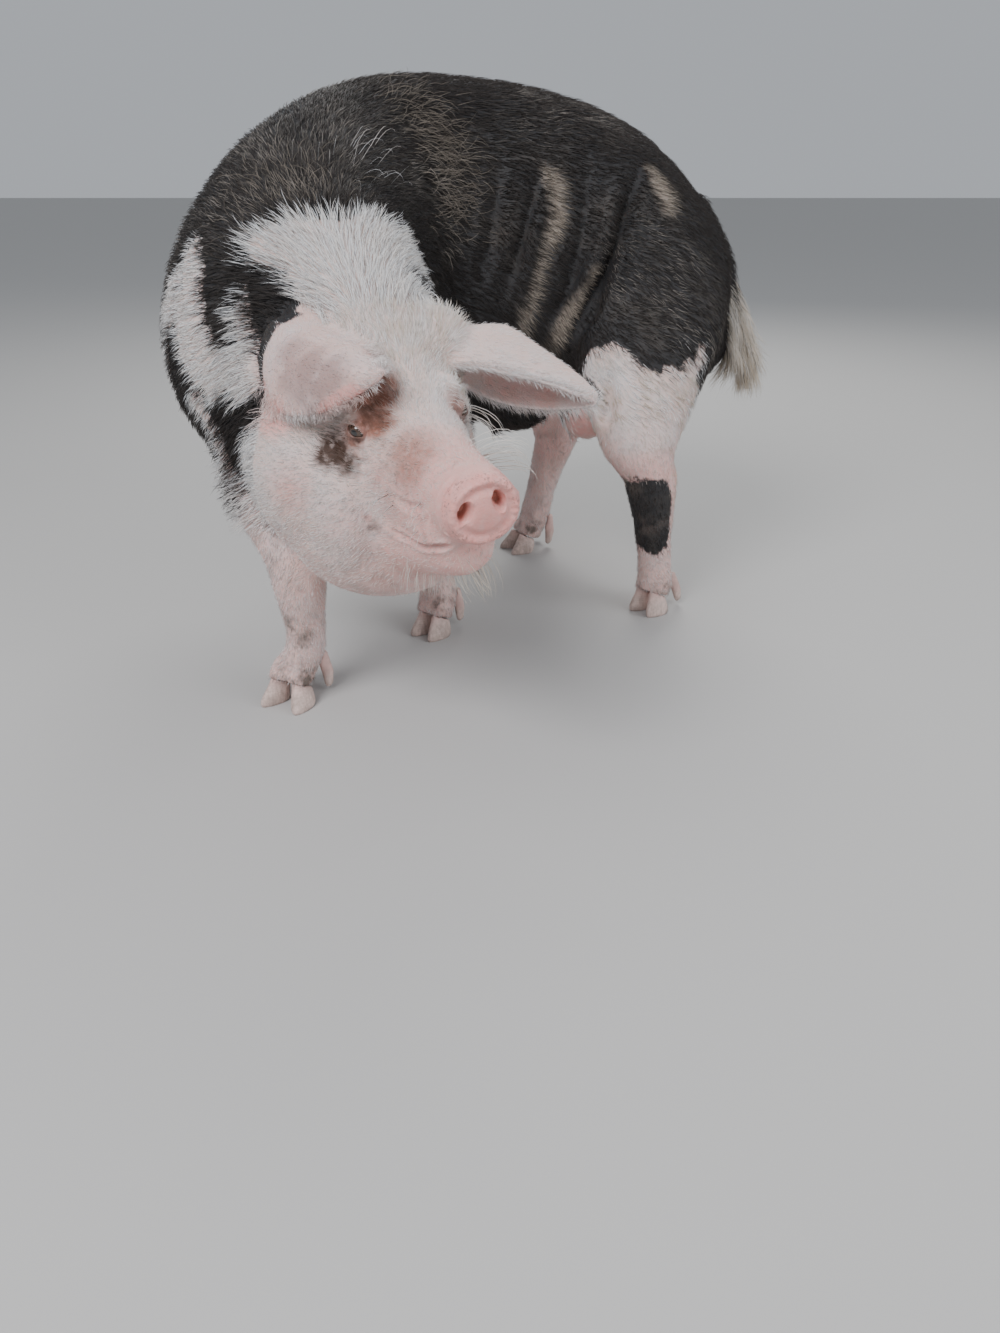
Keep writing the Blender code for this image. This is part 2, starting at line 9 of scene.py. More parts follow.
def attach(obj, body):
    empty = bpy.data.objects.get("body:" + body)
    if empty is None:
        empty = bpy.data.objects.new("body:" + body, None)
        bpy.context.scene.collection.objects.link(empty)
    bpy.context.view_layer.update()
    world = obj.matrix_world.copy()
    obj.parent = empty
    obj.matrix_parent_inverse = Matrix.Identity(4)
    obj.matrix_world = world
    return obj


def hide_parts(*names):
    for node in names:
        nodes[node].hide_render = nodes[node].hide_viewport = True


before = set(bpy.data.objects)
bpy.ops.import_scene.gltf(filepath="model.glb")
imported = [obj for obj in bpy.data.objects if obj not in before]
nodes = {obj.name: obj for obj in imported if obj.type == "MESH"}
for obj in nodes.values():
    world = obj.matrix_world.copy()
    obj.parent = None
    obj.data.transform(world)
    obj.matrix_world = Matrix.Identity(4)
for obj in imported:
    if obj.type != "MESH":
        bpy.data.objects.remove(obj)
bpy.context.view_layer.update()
hoofNodes = sorted(name for name in nodes if name.startswith(("hoof", "dewclaw")))
eyeNodes = ["eye_left", "eye_right"]
fleshNodes = sorted(set(nodes) - set(hoofNodes) - set(eyeNodes))

# places that several pieces share, in metres
bodyScale, bodyMoved = 0.94, np.array((0.0258, -1.6621, 0.0))  # as the solids were scaled and set down
headPlace = {"middle": (-0.0951, -0.3403, 0.4766), "heading": 27.0, "dip": 8.0, "roll": -5.0}
eyePlace = {
    "ahead": 0.0122, "side": 0.0658, "up": 0.0028, "radius": 0.0127,
    "out": (0.55, 0.82, 0.16), "slit": (0.80, -0.38, -0.30),  # ways out of the head and to the inner corner
}
spineLine = np.array(
    (
        (0.446, 1.975), (0.330, 1.986), (0.230, 2.004), (0.090, 2.029), (-0.080, 2.028), (-0.219, 1.938),
        (-0.294, 1.786), (-0.298, 1.642), (-0.250, 1.530), (-0.190, 1.420), (-0.150, 1.340),
    )
)
spineLine = (spineLine + bodyMoved[:2]) * bodyScale
tailLine = np.array(
    (
        (0.380, 1.975, 0.690), (0.412, 1.970, 0.655), (0.432, 1.960, 0.610), (0.450, 1.955, 0.560),
        (0.470, 1.955, 0.510), (0.484, 1.955, 0.460), (0.484, 1.955, 0.416),
    )
)
tailLine = (tailLine + bodyMoved) * bodyScale
footLines = {  # the middle of each foot
    "front_right": (-0.2982, -0.2088), "front_left": (-0.0829, 0.0403),
    "hind_left": (0.3326, 0.1409), "hind_right": (0.0901, 0.4577),
}


def smooth(value, low, high):
    share = np.clip((value - low) / (high - low), 0.0, 1.0)
    return share * share * (3 - 2 * share)


def bell(gap, width):
    return np.exp(-((gap / width) ** 2))


def sizes(rows):
    return np.linalg.norm(rows, axis=1)


def unit(vectors):
    return vectors / np.maximum(np.linalg.norm(vectors, axis=-1, keepdims=True), 1e-9)


def headAxes():
    # the head's own ways ahead, left and up, as rows
    turn, dip, roll = (math.radians(headPlace[name]) for name in ("heading", "dip", "roll"))
    ahead = Vector((math.sin(turn) * math.cos(dip), -math.cos(turn) * math.cos(dip), -math.sin(dip)))
    side = Vector((math.cos(turn), math.sin(turn), 0))
    spin = Matrix.Rotation(-roll, 3, ahead)
    return np.array((ahead, spin @ side, spin @ ahead.cross(side)))


headRows = headAxes()


def toHead(points):
    return (points - np.array(headPlace["middle"])) @ headRows.T


def fromHead(places):
    return np.asarray(places) @ headRows + np.array(headPlace["middle"])


def eyeFrame(hand):
    # the middle of an eye and its ways out, towards the inner corner and up across the opening
    centre = fromHead((eyePlace["ahead"], eyePlace["side"] * hand, eyePlace["up"]))
    out = unit(np.array(eyePlace["out"]) * (1, hand, 1)) @ headRows
    slit = (np.array(eyePlace["slit"]) * (1, hand, 1)) @ headRows
    slit = unit(slit - out * (slit @ out))
    rise = np.cross(slit, out) * hand
    return centre, out, slit, rise * np.sign(rise @ headRows[2])


def eyeGap(local, ahead=0.0):
    # distance to the nearer eye, in the head's frame
    eye = np.array((eyePlace["ahead"] + ahead, eyePlace["side"], eyePlace["up"]))
    return sizes(local * (1, 0, 1) + np.abs(local) * (0, 1, 0) - eye)


def nearLine(points, line):
    # distance to the nearest place of a line, and how far along it that is
    line = np.asarray(line, float)
    best, along = np.full(len(points), 9.0), np.zeros(len(points))
    for i in range(len(line) - 1):
        run = line[i + 1] - line[i]
        share = np.clip(((points - line[i]) @ run) / (run @ run), 0.0, 1.0)
        gap = sizes(points - line[i] - share[:, None] * run)
        closer = gap < best
        best[closer] = gap[closer]
        along[closer] = (i + share[closer]) / (len(line) - 1)
    return best, along


def cloud(points, size, seed=0):
    # soft noise from 0 to 1, with features about size across
    cell = points / size + seed * 7.31
    base = np.floor(cell).astype(np.int64)
    part = cell - base
    part = part * part * (3 - 2 * part)
    total = np.zeros(len(points))
    for corner in range(8):
        step = np.array((corner & 1, corner >> 1 & 1, corner >> 2 & 1))
        key = (base + step) @ np.array((73856093, 19349663, 83492791))
        key = (key ^ (key >> 13)) * 1274126177 & 0xFFFFFFFF
        key = (key ^ (key >> 15)) * 2246822519 & 0xFFFFFFFF
        weight = np.where(step, part, 1 - part).prod(axis=1)
        total += weight * ((key ^ (key >> 16)) & 0xFFFFFF) / 0xFFFFFF
    return total


def alongTail(values, along):
    # what stands at each place of the tail's line, from the values at its corners
    last = len(tailLine) - 1
    return np.array([np.interp(along * last, range(last + 1), values[:, k]) for k in range(3)]).T


def treeOf(places):
    tree = KDTree(len(places))
    for i, place in enumerate(places):
        tree.insert(place, i)
    tree.balance()
    return tree


def pulled(rows, name, width=1, kind=np.float32):
    # a number or a vector for each row of Blender's data
    flat = np.empty(len(rows) * width, kind)
    rows.foreach_get(name, flat)
    return flat.reshape(-1, width) if width > 1 else flat


def coordsOf(mesh):
    return pulled(mesh.vertices, "co", 3).astype(float)


def normalsOf(mesh):
    return pulled(mesh.vertex_normals, "vector", 3).astype(float)


def setCoords(mesh, points):
    mesh.vertices.foreach_set("co", points.astype(np.float32).ravel())
    mesh.update()


def edgesOf(mesh):
    return pulled(mesh.edges, "vertices", 2, np.int32)


def spread(edges, values, rounds, weight=1.0):
    # averages values with their neighbours' along the edges
    count = len(values)
    degree = np.maximum(np.bincount(edges.ravel(), minlength=count), 1)
    flat = values.ndim == 1
    values = values[:, None].copy() if flat else values.copy()
    for _ in range(rounds):
        for k in range(values.shape[1]):
            total = np.bincount(edges[:, 0], values[edges[:, 1], k], count)
            total += np.bincount(edges[:, 1], values[edges[:, 0], k], count)
            values[:, k] += weight * 0.5 * (total / degree - values[:, k])
    return values[:, 0] if flat else values


def writeMask(mesh, name, values):
    layer = mesh.attributes.new(name, "FLOAT", "POINT")
    layer.data.foreach_set("value", np.ascontiguousarray(values, np.float32))


def selectOnly(*objects):
    bpy.ops.object.select_all(action="DESELECT")
    for obj in objects:
        obj.select_set(True)
    bpy.context.view_layer.objects.active = objects[0]


def copyOf(name, swell=0.0):
    mesh = nodes[name].data.copy()
    mesh.materials.clear()
    twin = bpy.data.objects.new("copy_" + name, mesh)
    bpy.context.scene.collection.objects.link(twin)
    selectOnly(twin)
    bpy.ops.object.mode_set(mode="EDIT")
    bpy.ops.mesh.select_all(action="SELECT")
    bpy.ops.mesh.remove_doubles(threshold=1e-5)
    bpy.ops.mesh.normals_make_consistent(inside=False)
    bpy.ops.object.mode_set(mode="OBJECT")
    if swell:
        setCoords(mesh, coordsOf(mesh) + normalsOf(mesh) * swell)
    return twin


def joined(objects, name):
    selectOnly(*objects)
    bpy.ops.object.join()
    whole = bpy.context.view_layer.objects.active
    whole.name = whole.data.name = name
    return whole


def modified(obj, kind, **values):
    selectOnly(obj)
    change = obj.modifiers.new(kind.lower(), kind)
    for name, value in values.items():
        setattr(change, name, value)
    bpy.ops.object.modifier_apply(modifier=change.name)


# skin: one mesh over all the flesh, then folds, lids, nostrils and lips
skinValues = {
    "swell": 0.0008,  # the solids are pushed out by this to close the cuts between them
    "grain": 0.0032,
    "rounds": 34,  # of calming, which takes the facets away, as strongly on each part as calm says
    "calm": {"body": 1.0, "head": 0.30, "leg": 0.34, "ear": 0.22, "nose": 0.10, "tail": 0.4},
    "depth": {"body": 0.0028, "neck": 0.0050, "head": 0.0010, "leg": 0.0012, "ear": 0.0006, "tail": 0.001},
    "keep": {"body": 0.100, "leg": 0.19, "ear": 0.25, "head": 0.17, "face": 0.18, "fine": 0.26},
    "pits": 0.0015,  # the eyes are pushed out by this, so that their pits close and the lids can be shaped
    "tailSlim": 0.62, "wrinkle": 0.0022,
}


def partShares(mesh, edges):
    # which part each place of the skin belongs to, as soft shares
    samples = [(polygon.center[:], name) for name in fleshNodes for polygon in nodes[name].data.polygons]
    tree = treeOf([place for place, name in samples])
    owners = np.array([samples[tree.find(place)[1]][1] for place in coordsOf(mesh)])
    groups = {
        "head": owners == "head", "nose": owners == "snout", "neck": owners == "neck",
        "tail": owners == "tail", "chest": owners == "chest", "rump": owners == "rump",
        "leg": np.char.startswith(owners, "leg"), "ear": np.char.startswith(owners, "ear"),
        "earLeft": owners == "ear_left", "earRight": owners == "ear_right",
    }
    return {name: spread(edges, share.astype(float), 10) for name, share in groups.items()}


def valueBy(shares, values):
    total = np.full(len(shares["head"]), float(values["body"]))
    for name in ("neck", "head", "leg", "ear", "tail", "nose"):
        if name in values:
            total += (values[name] - total) * np.clip(shares[name] * 1.3, 0, 1)
    return total


def groove(points, normals, line, width, depth, lip, ends=True, wander=0.0):
    # a fold along the line with a soft lip beside it, which fades out at its ends
    gap, along = nearLine(points, line)
    gap = np.abs(gap + wander * (cloud(points, 0.045, 14) - 0.5))
    near = gap < width * 4
    fade = np.sin(np.pi * np.clip(along[near], 0.0, 1.0)) ** 0.8
    if not ends:
        fade = smooth(along[near], 0.0, 0.16)
    dip = depth * bell(gap[near], width)
    rise = lip * bell(gap[near] - 1.9 * width, 0.8 * width)
    points[near] += normals[near] * ((rise - dip) * fade)[:, None]


def bulge(points, normals, centre, reach, height):
    share = bell(sizes(points - np.asarray(centre)), reach)
    points += normals * (share * height)[:, None]


bodyFolds = {  # line, width, depth, lip
    "flank": (((0.258, 0.228, 0.766), (0.231, 0.177, 0.701), (0.203, 0.153, 0.610), (0.179, 0.152, 0.549),
               (0.144, 0.168, 0.486)), 0.013, 0.022, 0.007),
    "inFront": (((0.147, 0.217, 0.778), (0.163, 0.181, 0.706), (0.149, 0.163, 0.617), (0.126, 0.164, 0.555),
                 (0.093, 0.173, 0.497)), 0.011, 0.009, 0.004),
    "second": (((0.188, 0.184, 0.720), (0.173, 0.164, 0.647), (0.150, 0.160, 0.571)), 0.009, 0.007, 0.003),
    "third": (((0.089, 0.210, 0.763), (0.071, 0.186, 0.691), (0.050, 0.176, 0.616), (0.025, 0.175, 0.553)),
              0.012, 0.010, 0.004),
    "fourth": (((0.025, 0.219, 0.778), (0.016, 0.194, 0.706), (0.008, 0.180, 0.631),
                (-0.009, 0.172, 0.569)), 0.012, 0.007, 0.003),
    "outerFlank": (((0.070, 0.510, 0.730), (0.025, 0.545, 0.650), (-0.010, 0.555, 0.550),
                    (0.010, 0.540, 0.450), (0.050, 0.500, 0.385)), 0.024, 0.011, 0.004),
    "outerShoulder": (((-0.395, 0.040, 0.765), (-0.458, 0.045, 0.660), (-0.485, 0.050, 0.560),
                       (-0.482, 0.040, 0.460), (-0.435, 0.020, 0.375)), 0.026, 0.009, 0.004),
}
bodyBulges = (  # the right haunch and shoulder: middle, reach, height
    ((0.180, 0.520, 0.540), 0.110, 0.009), ((0.130, 0.520, 0.400), 0.070, 0.005),
    ((-0.465, -0.070, 0.540), 0.095, 0.007),
)
headFolds = {  # in the head's own frame, on both sides: line, width, depth, lip
    "mouth": (((0.036, 0.082, -0.098), (0.060, 0.074, -0.109), (0.092, 0.056, -0.107),
               (0.140, 0.048, -0.098), (0.175, 0.040, -0.086), (0.205, 0.020, -0.078),
               (0.212, 0.000, -0.076)), 0.0040, 0.0055, 0.0022),
    "side": (((0.076, 0.060, -0.054), (0.110, 0.054, -0.056), (0.145, 0.049, -0.047),
              (0.170, 0.047, -0.034)), 0.0050, 0.0030, 0.0014),
    "sideDown": (((0.168, 0.047, -0.034), (0.171, 0.046, -0.044), (0.166, 0.046, -0.060)),
                 0.0035, 0.0026, 0.001),
    "behindDisc": (((0.205, 0.020, 0.018), (0.203, 0.040, 0.000), (0.203, 0.047, -0.025),
                    (0.203, 0.040, -0.055)), 0.0040, 0.0032, 0.0010),
    "bridgeOne": (((0.178, 0.000, 0.018), (0.174, 0.026, 0.010), (0.168, 0.040, -0.006)),
                  0.0036, 0.0012, 0.0006),
    "bridgeTwo": (((0.152, 0.000, 0.016), (0.149, 0.026, 0.010), (0.144, 0.042, -0.006)),
                  0.0036, 0.0010, 0.0005),
    "browOne": (((-0.010, 0.040, 0.052), (0.002, 0.062, 0.034), (-0.016, 0.084, 0.020)),
                0.0045, 0.0024, 0.0014),
    "browTwo": (((-0.026, 0.040, 0.066), (-0.016, 0.068, 0.046), (-0.034, 0.090, 0.028)),
                0.0050, 0.0022, 0.0014),
    "underEye": (((0.038, 0.052, -0.010), (0.024, 0.068, -0.020), (-0.002, 0.082, -0.020)),
                 0.0040, 0.0022, 0.0012),
    "underTwo": (((0.050, 0.054, -0.022), (0.028, 0.072, -0.034), (-0.010, 0.088, -0.034)),
                 0.0045, 0.0018, 0.0010),
    "jowl": (((-0.100, 0.150, -0.060), (-0.070, 0.150, -0.120), (-0.020, 0.125, -0.165)),
             0.010, 0.004, 0.002),
}
headBulges = (  # in the head's own frame: the temple behind the left eye, both lips, the chin
    ((-0.034, 0.084, -0.014), 0.030, 0.010), ((0.150, 0.040, -0.078), 0.020, 0.0022),
    ((0.150, -0.040, -0.078), 0.020, 0.0022), ((0.172, 0.0, -0.112), 0.022, 0.0030),
)
lids = {  # half-length, rise and fall of the opening, thickness and reach of the lids, depth inside
    "half": 0.0120, "rise": 0.0072, "fall": 0.0052, "thick": 0.0017, "reach": 0.020, "sink": 0.0050,
    "rim": (0.0012, 0.0011, 0.0007),  # how far past the edge it stands, its width and height
    # creases above and below: how far past the edge, width, half-length
    "above": (0.0052, 0.0013, 0.015), "below": (0.0050, 0.0013, 0.013), "crease": 0.0013,
}


def shapeEyes(points):
    # the lids lie on the ball, and the opening between them drops behind it
    for hand in (1, -1):
        centre, out, slit, rise = eyeFrame(hand)
        away = points - centre
        deep, run, up = away @ out, away @ slit, away @ rise
        flat = np.hypot(run, up)
        near = (flat < lids["reach"]) & (deep > -0.012) & (deep < 0.05)
        flat, run, up, deep = flat[near], run[near], up[near], deep[near]
        shell = eyePlace["radius"] + lids["thick"]
        over = np.sqrt(np.maximum(shell**2 - flat**2, 0.0))
        blend = 1 - smooth(flat, shell * 0.86, lids["reach"])
        lidded = deep + (np.maximum(over, 0.004) - deep) * blend
        wide = np.clip(1 - (run / lids["half"]) ** 2, 0, 1) ** 0.75
        edge = np.where(up > 0, lids["rise"], lids["fall"]) * wide
        inside = smooth(edge - np.abs(up), -0.0005, 0.0006) * (np.abs(run) < lids["half"])
        ball = np.sqrt(np.maximum(eyePlace["radius"] ** 2 - flat**2, 0.0)) - lids["sink"]
        past, width, high = lids["rim"]
        rim = bell(np.abs(up) - edge - past, width) * (np.abs(run) < lids["half"] * 1.1)
        past, width, half = lids["above"]
        crease = bell(up - edge - past, width) * (up > 0) * (np.abs(run) < half)
        past, width, half = lids["below"]
        crease += 0.7 * bell(-up - edge - past, width) * (up < 0) * (np.abs(run) < half)
        target = lidded + high * rim - lids["crease"] * crease
        target = target * (1 - inside) + np.minimum(ball, lidded) * inside
        points[near] += out * (target - deep)[:, None]


disc = {  # its middle in the head's frame and half its size, then rings on it: how far out, width, height
    "ahead": 0.222, "left": -0.001, "up": -0.0245, "wide": 0.0470, "tall": 0.0440,
    "rim": (0.86, 0.11, 0.0032), "hollow": (0.62, 0.10, 0.0030), "middle": (0.0, 0.35, 0.0016),
    "creases": (0.90, 0.16, 0.00055),
}
nostrils = {  # left and up of each hole on the disc, its size, how it leans in degrees, how deep it goes
    "places": {1: (0.0165, -0.0136), -1: (-0.0249, -0.0202)},
    "half": 0.0108, "broad": 0.0044, "lean": 24.0, "deep": 0.013, "brim": 0.0016,
    "dark": (0.218, 0.226),  # how far ahead the dark inside has its middle and its end
}


def acrossDisc(spot):
    # how far left and up of the disc's middle a place is, in the head's frame
    return spot[:, 1] - disc["left"], spot[:, 2] - disc["up"]


def shapeNose(points):
    # the disc: a raised rim, a hollow inside it, two nostrils and small creases across the rim
    local = toHead(points)
    near = local[:, 0] > disc["ahead"] - 0.03
    spot = local[near]
    across, up = acrossDisc(spot)
    ring = np.hypot(across / disc["wide"], up / disc["tall"])
    angle = np.arctan2(up, across)
    front = smooth(spot[:, 0], disc["ahead"] - 0.006, disc["ahead"] + 0.004)
    push = np.zeros(len(spot))
    for name, much in (("rim", 1 + 0.5 * np.sin(angle)), ("hollow", -1.0), ("middle", 1.0)):
        out, width, high = disc[name]
        push += high * bell(ring - out, width) * much
    out, width, high = disc["creases"]
    creases = np.sin(angle * 17 + 3 * np.sin(angle * 3.0)) + 0.6 * np.sin(angle * 29 + 1.7)
    push += high * creases * bell(ring - out, width)
    move = np.zeros((len(spot), 3))
    move[:, 0] = push * front
    for hand in (1, -1):
        lean = math.radians(nostrils["lean"]) * hand
        a = spot[:, 1] - nostrils["places"][hand][0]
        b = spot[:, 2] - nostrils["places"][hand][1]
        u = a * math.cos(lean) + b * math.sin(lean)
        v = -a * math.sin(lean) + b * math.cos(lean)
        hole = np.hypot(u / nostrils["broad"], v / nostrils["half"])
        pit = 1 - smooth(hole, 0.55, 1.12)
        move[:, 0] -= nostrils["deep"] * pit * front
        move[:, 0] += nostrils["brim"] * bell(hole - 1.45, 0.28) * front
    points[near] += move @ headRows


teats = {
    "reach": 0.0085, "height": 0.017, "above": 0.24,  # only on the belly, above this height
    "places": ((0.101, 0.272), (0.161, 0.252), (0.011, 0.262),
               (0.066, 0.362), (0.006, 0.357), (-0.089, 0.217),
               (-0.074, 0.347), (0.146, 0.372), (-0.164, 0.127), (-0.194, 0.257)),
}


def shapeTeats(points, normals):
    # they hang from what faces down under the belly
    for x, y in teats["places"]:
        flat = np.hypot(points[:, 0] - x, points[:, 1] - y)
        under = (flat < 0.03) & (normals[:, 2] < -0.3) & (points[:, 2] > teats["above"])
        share = bell(flat[under], teats["reach"])
        points[under, 2] -= teats["height"] * share


footValues = {
    "band": (0.026, 0.046), "bins": 48,  # heights of the coronet, directions in which its reach is taken
    "drawn": 0.20,  # share by which the tops of the claws are drawn together
    "low": 0.006, "high": 0.042, "claws": 0.044,  # heights over which that grows, and how far out it acts
    "from": 0.040, "to": 0.112,  # heights over which the pastern narrows from the claws' outline to its own
    "creases": ((0.062, 1.0), (0.074, 0.7)), "wide": 0.004, "deep": 0.0012,
}


def clawOutline(name):
    # how far the two claws of a foot reach from their middle, by direction, at the height of the coronet
    found = []
    for side in ("left", "right"):
        node = nodes[f"hoof_{name}_{side}"]
        ends = np.array([[node.data.vertices[k].co[:] for k in edge.vertices] for edge in node.data.edges])
        for share in np.linspace(0, 1, 13):
            found.append(ends[:, 0] * (1 - share) + ends[:, 1] * share)
    found = np.concatenate(found)
    low, high = footValues["band"]
    found = found[(found[:, 2] > low) & (found[:, 2] < high)]
    middle = found[:, :2].mean(axis=0)
    gap = found[:, :2] - middle
    reach, turn = np.hypot(*gap.T), np.arctan2(gap[:, 1], gap[:, 0])
    count = footValues["bins"]
    which = np.floor((turn + math.pi) / (2 * math.pi) * count).astype(int) % count
    outline = np.zeros(count)
    np.maximum.at(outline, which, reach)
    outline = np.where(outline > 0, outline, outline.max() * 0.8)
    outline = (np.roll(outline, 1) + 2 * outline + np.roll(outline, -1)) / 4
    return middle, outline * (1 - footValues["drawn"])


def shapeLegs(points, normals):
    # a pastern that widens over its claws, and creases above them
    for name in footLines:
        middle, outline = clawOutline(name)
        gap = points[:, :2] - middle
        reach = np.hypot(*gap.T)
        turn = (np.arctan2(gap[:, 1], gap[:, 0]) + math.pi) / (2 * math.pi) * len(outline) - 0.5
        target = np.interp(turn % len(outline), range(len(outline) + 1), np.append(outline, outline[0]))
        share = 1 - smooth(points[:, 2], footValues["from"], footValues["to"])
        share *= (reach < 0.07) * smooth(reach, 0.010, 0.020)
        grown = reach + np.maximum(target - reach, 0) * share
        points[:, :2] = middle + gap * (grown / np.maximum(reach, 1e-6))[:, None]
    for foot in footLines.values():
        level = points[:, 2]
        near = (np.hypot(points[:, 0] - foot[0], points[:, 1] - foot[1]) < 0.13) & (level < 0.13)
        wave = 0.0
        for high, much in footValues["creases"]:
            wave = wave + much * bell(level[near] - high, footValues["wide"])
        wobble = 0.6 + 0.8 * cloud(points[near], 0.02, 5)
        points[near] -= normals[near] * (footValues["deep"] * wave * wobble)[:, None]


earRidges = {  # root and tip of each ear
    "earLeft": ((-0.049, -0.213, 0.530), (0.156, -0.266, 0.484)),
    "earRight": ((-0.244, -0.223, 0.540), (-0.105, -0.416, 0.543)),
    "height": 0.0007, "pitch": 0.0065,
}


def shapeEars(points, normals, shares):
    # veins and soft ridges along the ears, which fade towards the tips
    for name in ("earLeft", "earRight"):
        root, tip = earRidges[name]
        run = np.array(tip) - np.array(root)
        along = ((points - np.array(root)) @ run) / (run @ run)
        side = np.cross(run, (0, 0, 1))
        across = ((points - np.array(root)) @ side) / (side @ side) ** 0.5
        ripple = np.sin(across / earRidges["pitch"] + 2.2 * np.sin(along * 4)) * (1 - smooth(along, 0.5, 1.0))
        points += normals * (earRidges["height"] * ripple * shares[name])[:, None]


def makeSkin():
    copies = [copyOf(name, skinValues["swell"]) for name in fleshNodes]
    copies += [copyOf(name, skinValues["pits"]) for name in eyeNodes]
    skin = joined(copies, "skin")
    modified(skin, "REMESH", mode="VOXEL", voxel_size=skinValues["grain"])
    mesh = skin.data
    edges = edgesOf(mesh)
    shares = partShares(mesh, edges)
    points = coordsOf(mesh)
    points = spread(edges, points, skinValues["rounds"], valueBy(shares, skinValues["calm"]))
    setCoords(mesh, points)
    points -= normalsOf(mesh) * valueBy(shares, skinValues["depth"])[:, None]
    _, along = nearLine(points, tailLine)
    stem = alongTail(tailLine, along)
    slim = 1 - skinValues["tailSlim"] * smooth(along, 0.42, 0.62) * shares["tail"]
    points = stem + (points - stem) * slim[:, None]  # a thin end, for the tuft hides it
    setCoords(mesh, points)
    print("skin", len(mesh.vertices), "places")

    for zone in (faceZone, fineZone):
        selectPlaces(skin, zone(coordsOf(mesh)))
        bpy.ops.mesh.subdivide(number_cuts=1, smoothness=0.0)
        bpy.ops.object.mode_set(mode="OBJECT")
    edges = edgesOf(mesh)
    shares = partShares(mesh, edges)
    points, normals = coordsOf(mesh), normalsOf(mesh)
    for line, width, depth, lip in bodyFolds.values():
        groove(points, normals, line, width, depth, lip, wander=0.016)
    for middle, reach, height in bodyBulges:
        bulge(points, normals, middle, reach, height)
    for name, (line, width, depth, lip) in headFolds.items():
        for hand in (1, -1):
            places = fromHead([(a, s * hand, u) for a, s, u in line])
            groove(points, normals, places, width, depth, lip, ends=name not in ("mouth", "behindDisc"))
    for middle, reach, height in headBulges:
        bulge(points, normals, fromHead(middle), reach, height)
    shapeNose(points)
    shapeTeats(points, normals)
    shapeLegs(points, normals)
    shapeEars(points, normals, shares)
    shapeEyes(points)
    wrinkle = cloud(points, 0.030, 3) * 0.6 + cloud(points, 0.013, 4) * 0.4 - 0.5
    plain = 1 - np.clip(shares["ear"] + shares["nose"] + shares["head"], 0, 1)
    points += normals * (wrinkle * skinValues["wrinkle"] * plain)[:, None]
    points[:, 2] = np.maximum(points[:, 2], 0.0)
    setCoords(mesh, points)
    thinOut(skin, shares)
    bpy.ops.object.shade_smooth()
    print("skin thinned to", len(mesh.polygons), "faces")
    return skin


def faceZone(points):
    ahead, left, up = toHead(points).T
    return (ahead > -0.05) & (ahead < 0.30) & (np.abs(left) < 0.12) & (np.abs(up) < 0.17)


def fineZone(points):
    # round the eyes and on the disc
    local = toHead(points)
    return (eyeGap(local) < 0.026) | ((local[:, 0] > 0.206) & (local[:, 0] < 0.30))


def selectPlaces(obj, chosen):
    # leaves the object in edit mode, with only the chosen places selected
    selectOnly(obj)
    bpy.ops.object.mode_set(mode="EDIT")
    bpy.ops.mesh.select_mode(type="VERT")
    bpy.ops.mesh.select_all(action="DESELECT")
    bpy.ops.object.mode_set(mode="OBJECT")
    obj.data.vertices.foreach_set("select", chosen)
    bpy.ops.object.mode_set(mode="EDIT")
    bpy.ops.mesh.select_mode(type="VERT")


def thinOut(obj, shares):
    # each zone keeps its own share of the faces
    mesh = obj.data
    points = coordsOf(mesh)
    zones = {"body": np.ones(len(points), bool)}
    zones["leg"] = shares["leg"] > 0.4
    zones["ear"] = (shares["ear"] > 0.4) | (shares["tail"] > 0.4)
    zones["head"] = (shares["head"] > 0.5) & ~zones["ear"]
    zones["face"], zones["fine"] = faceZone(points), fineZone(points)
    label = np.zeros(len(points), int)
    for i, chosen in enumerate(zones.values()):
        label[chosen] = i
    layer = mesh.attributes.new("zone", "INT", "POINT")
    layer.data.foreach_set("value", label.astype(np.int32))
    for i, name in enumerate(zones):
        selectPlaces(obj, pulled(mesh.attributes["zone"].data, "value", kind=np.int32) == i)
        bpy.ops.mesh.decimate(ratio=skinValues["keep"][name])
        bpy.ops.object.mode_set(mode="OBJECT")
        print("   zone", name, len(mesh.polygons))
    mesh.attributes.remove(mesh.attributes["zone"])


skin = makeSkin()


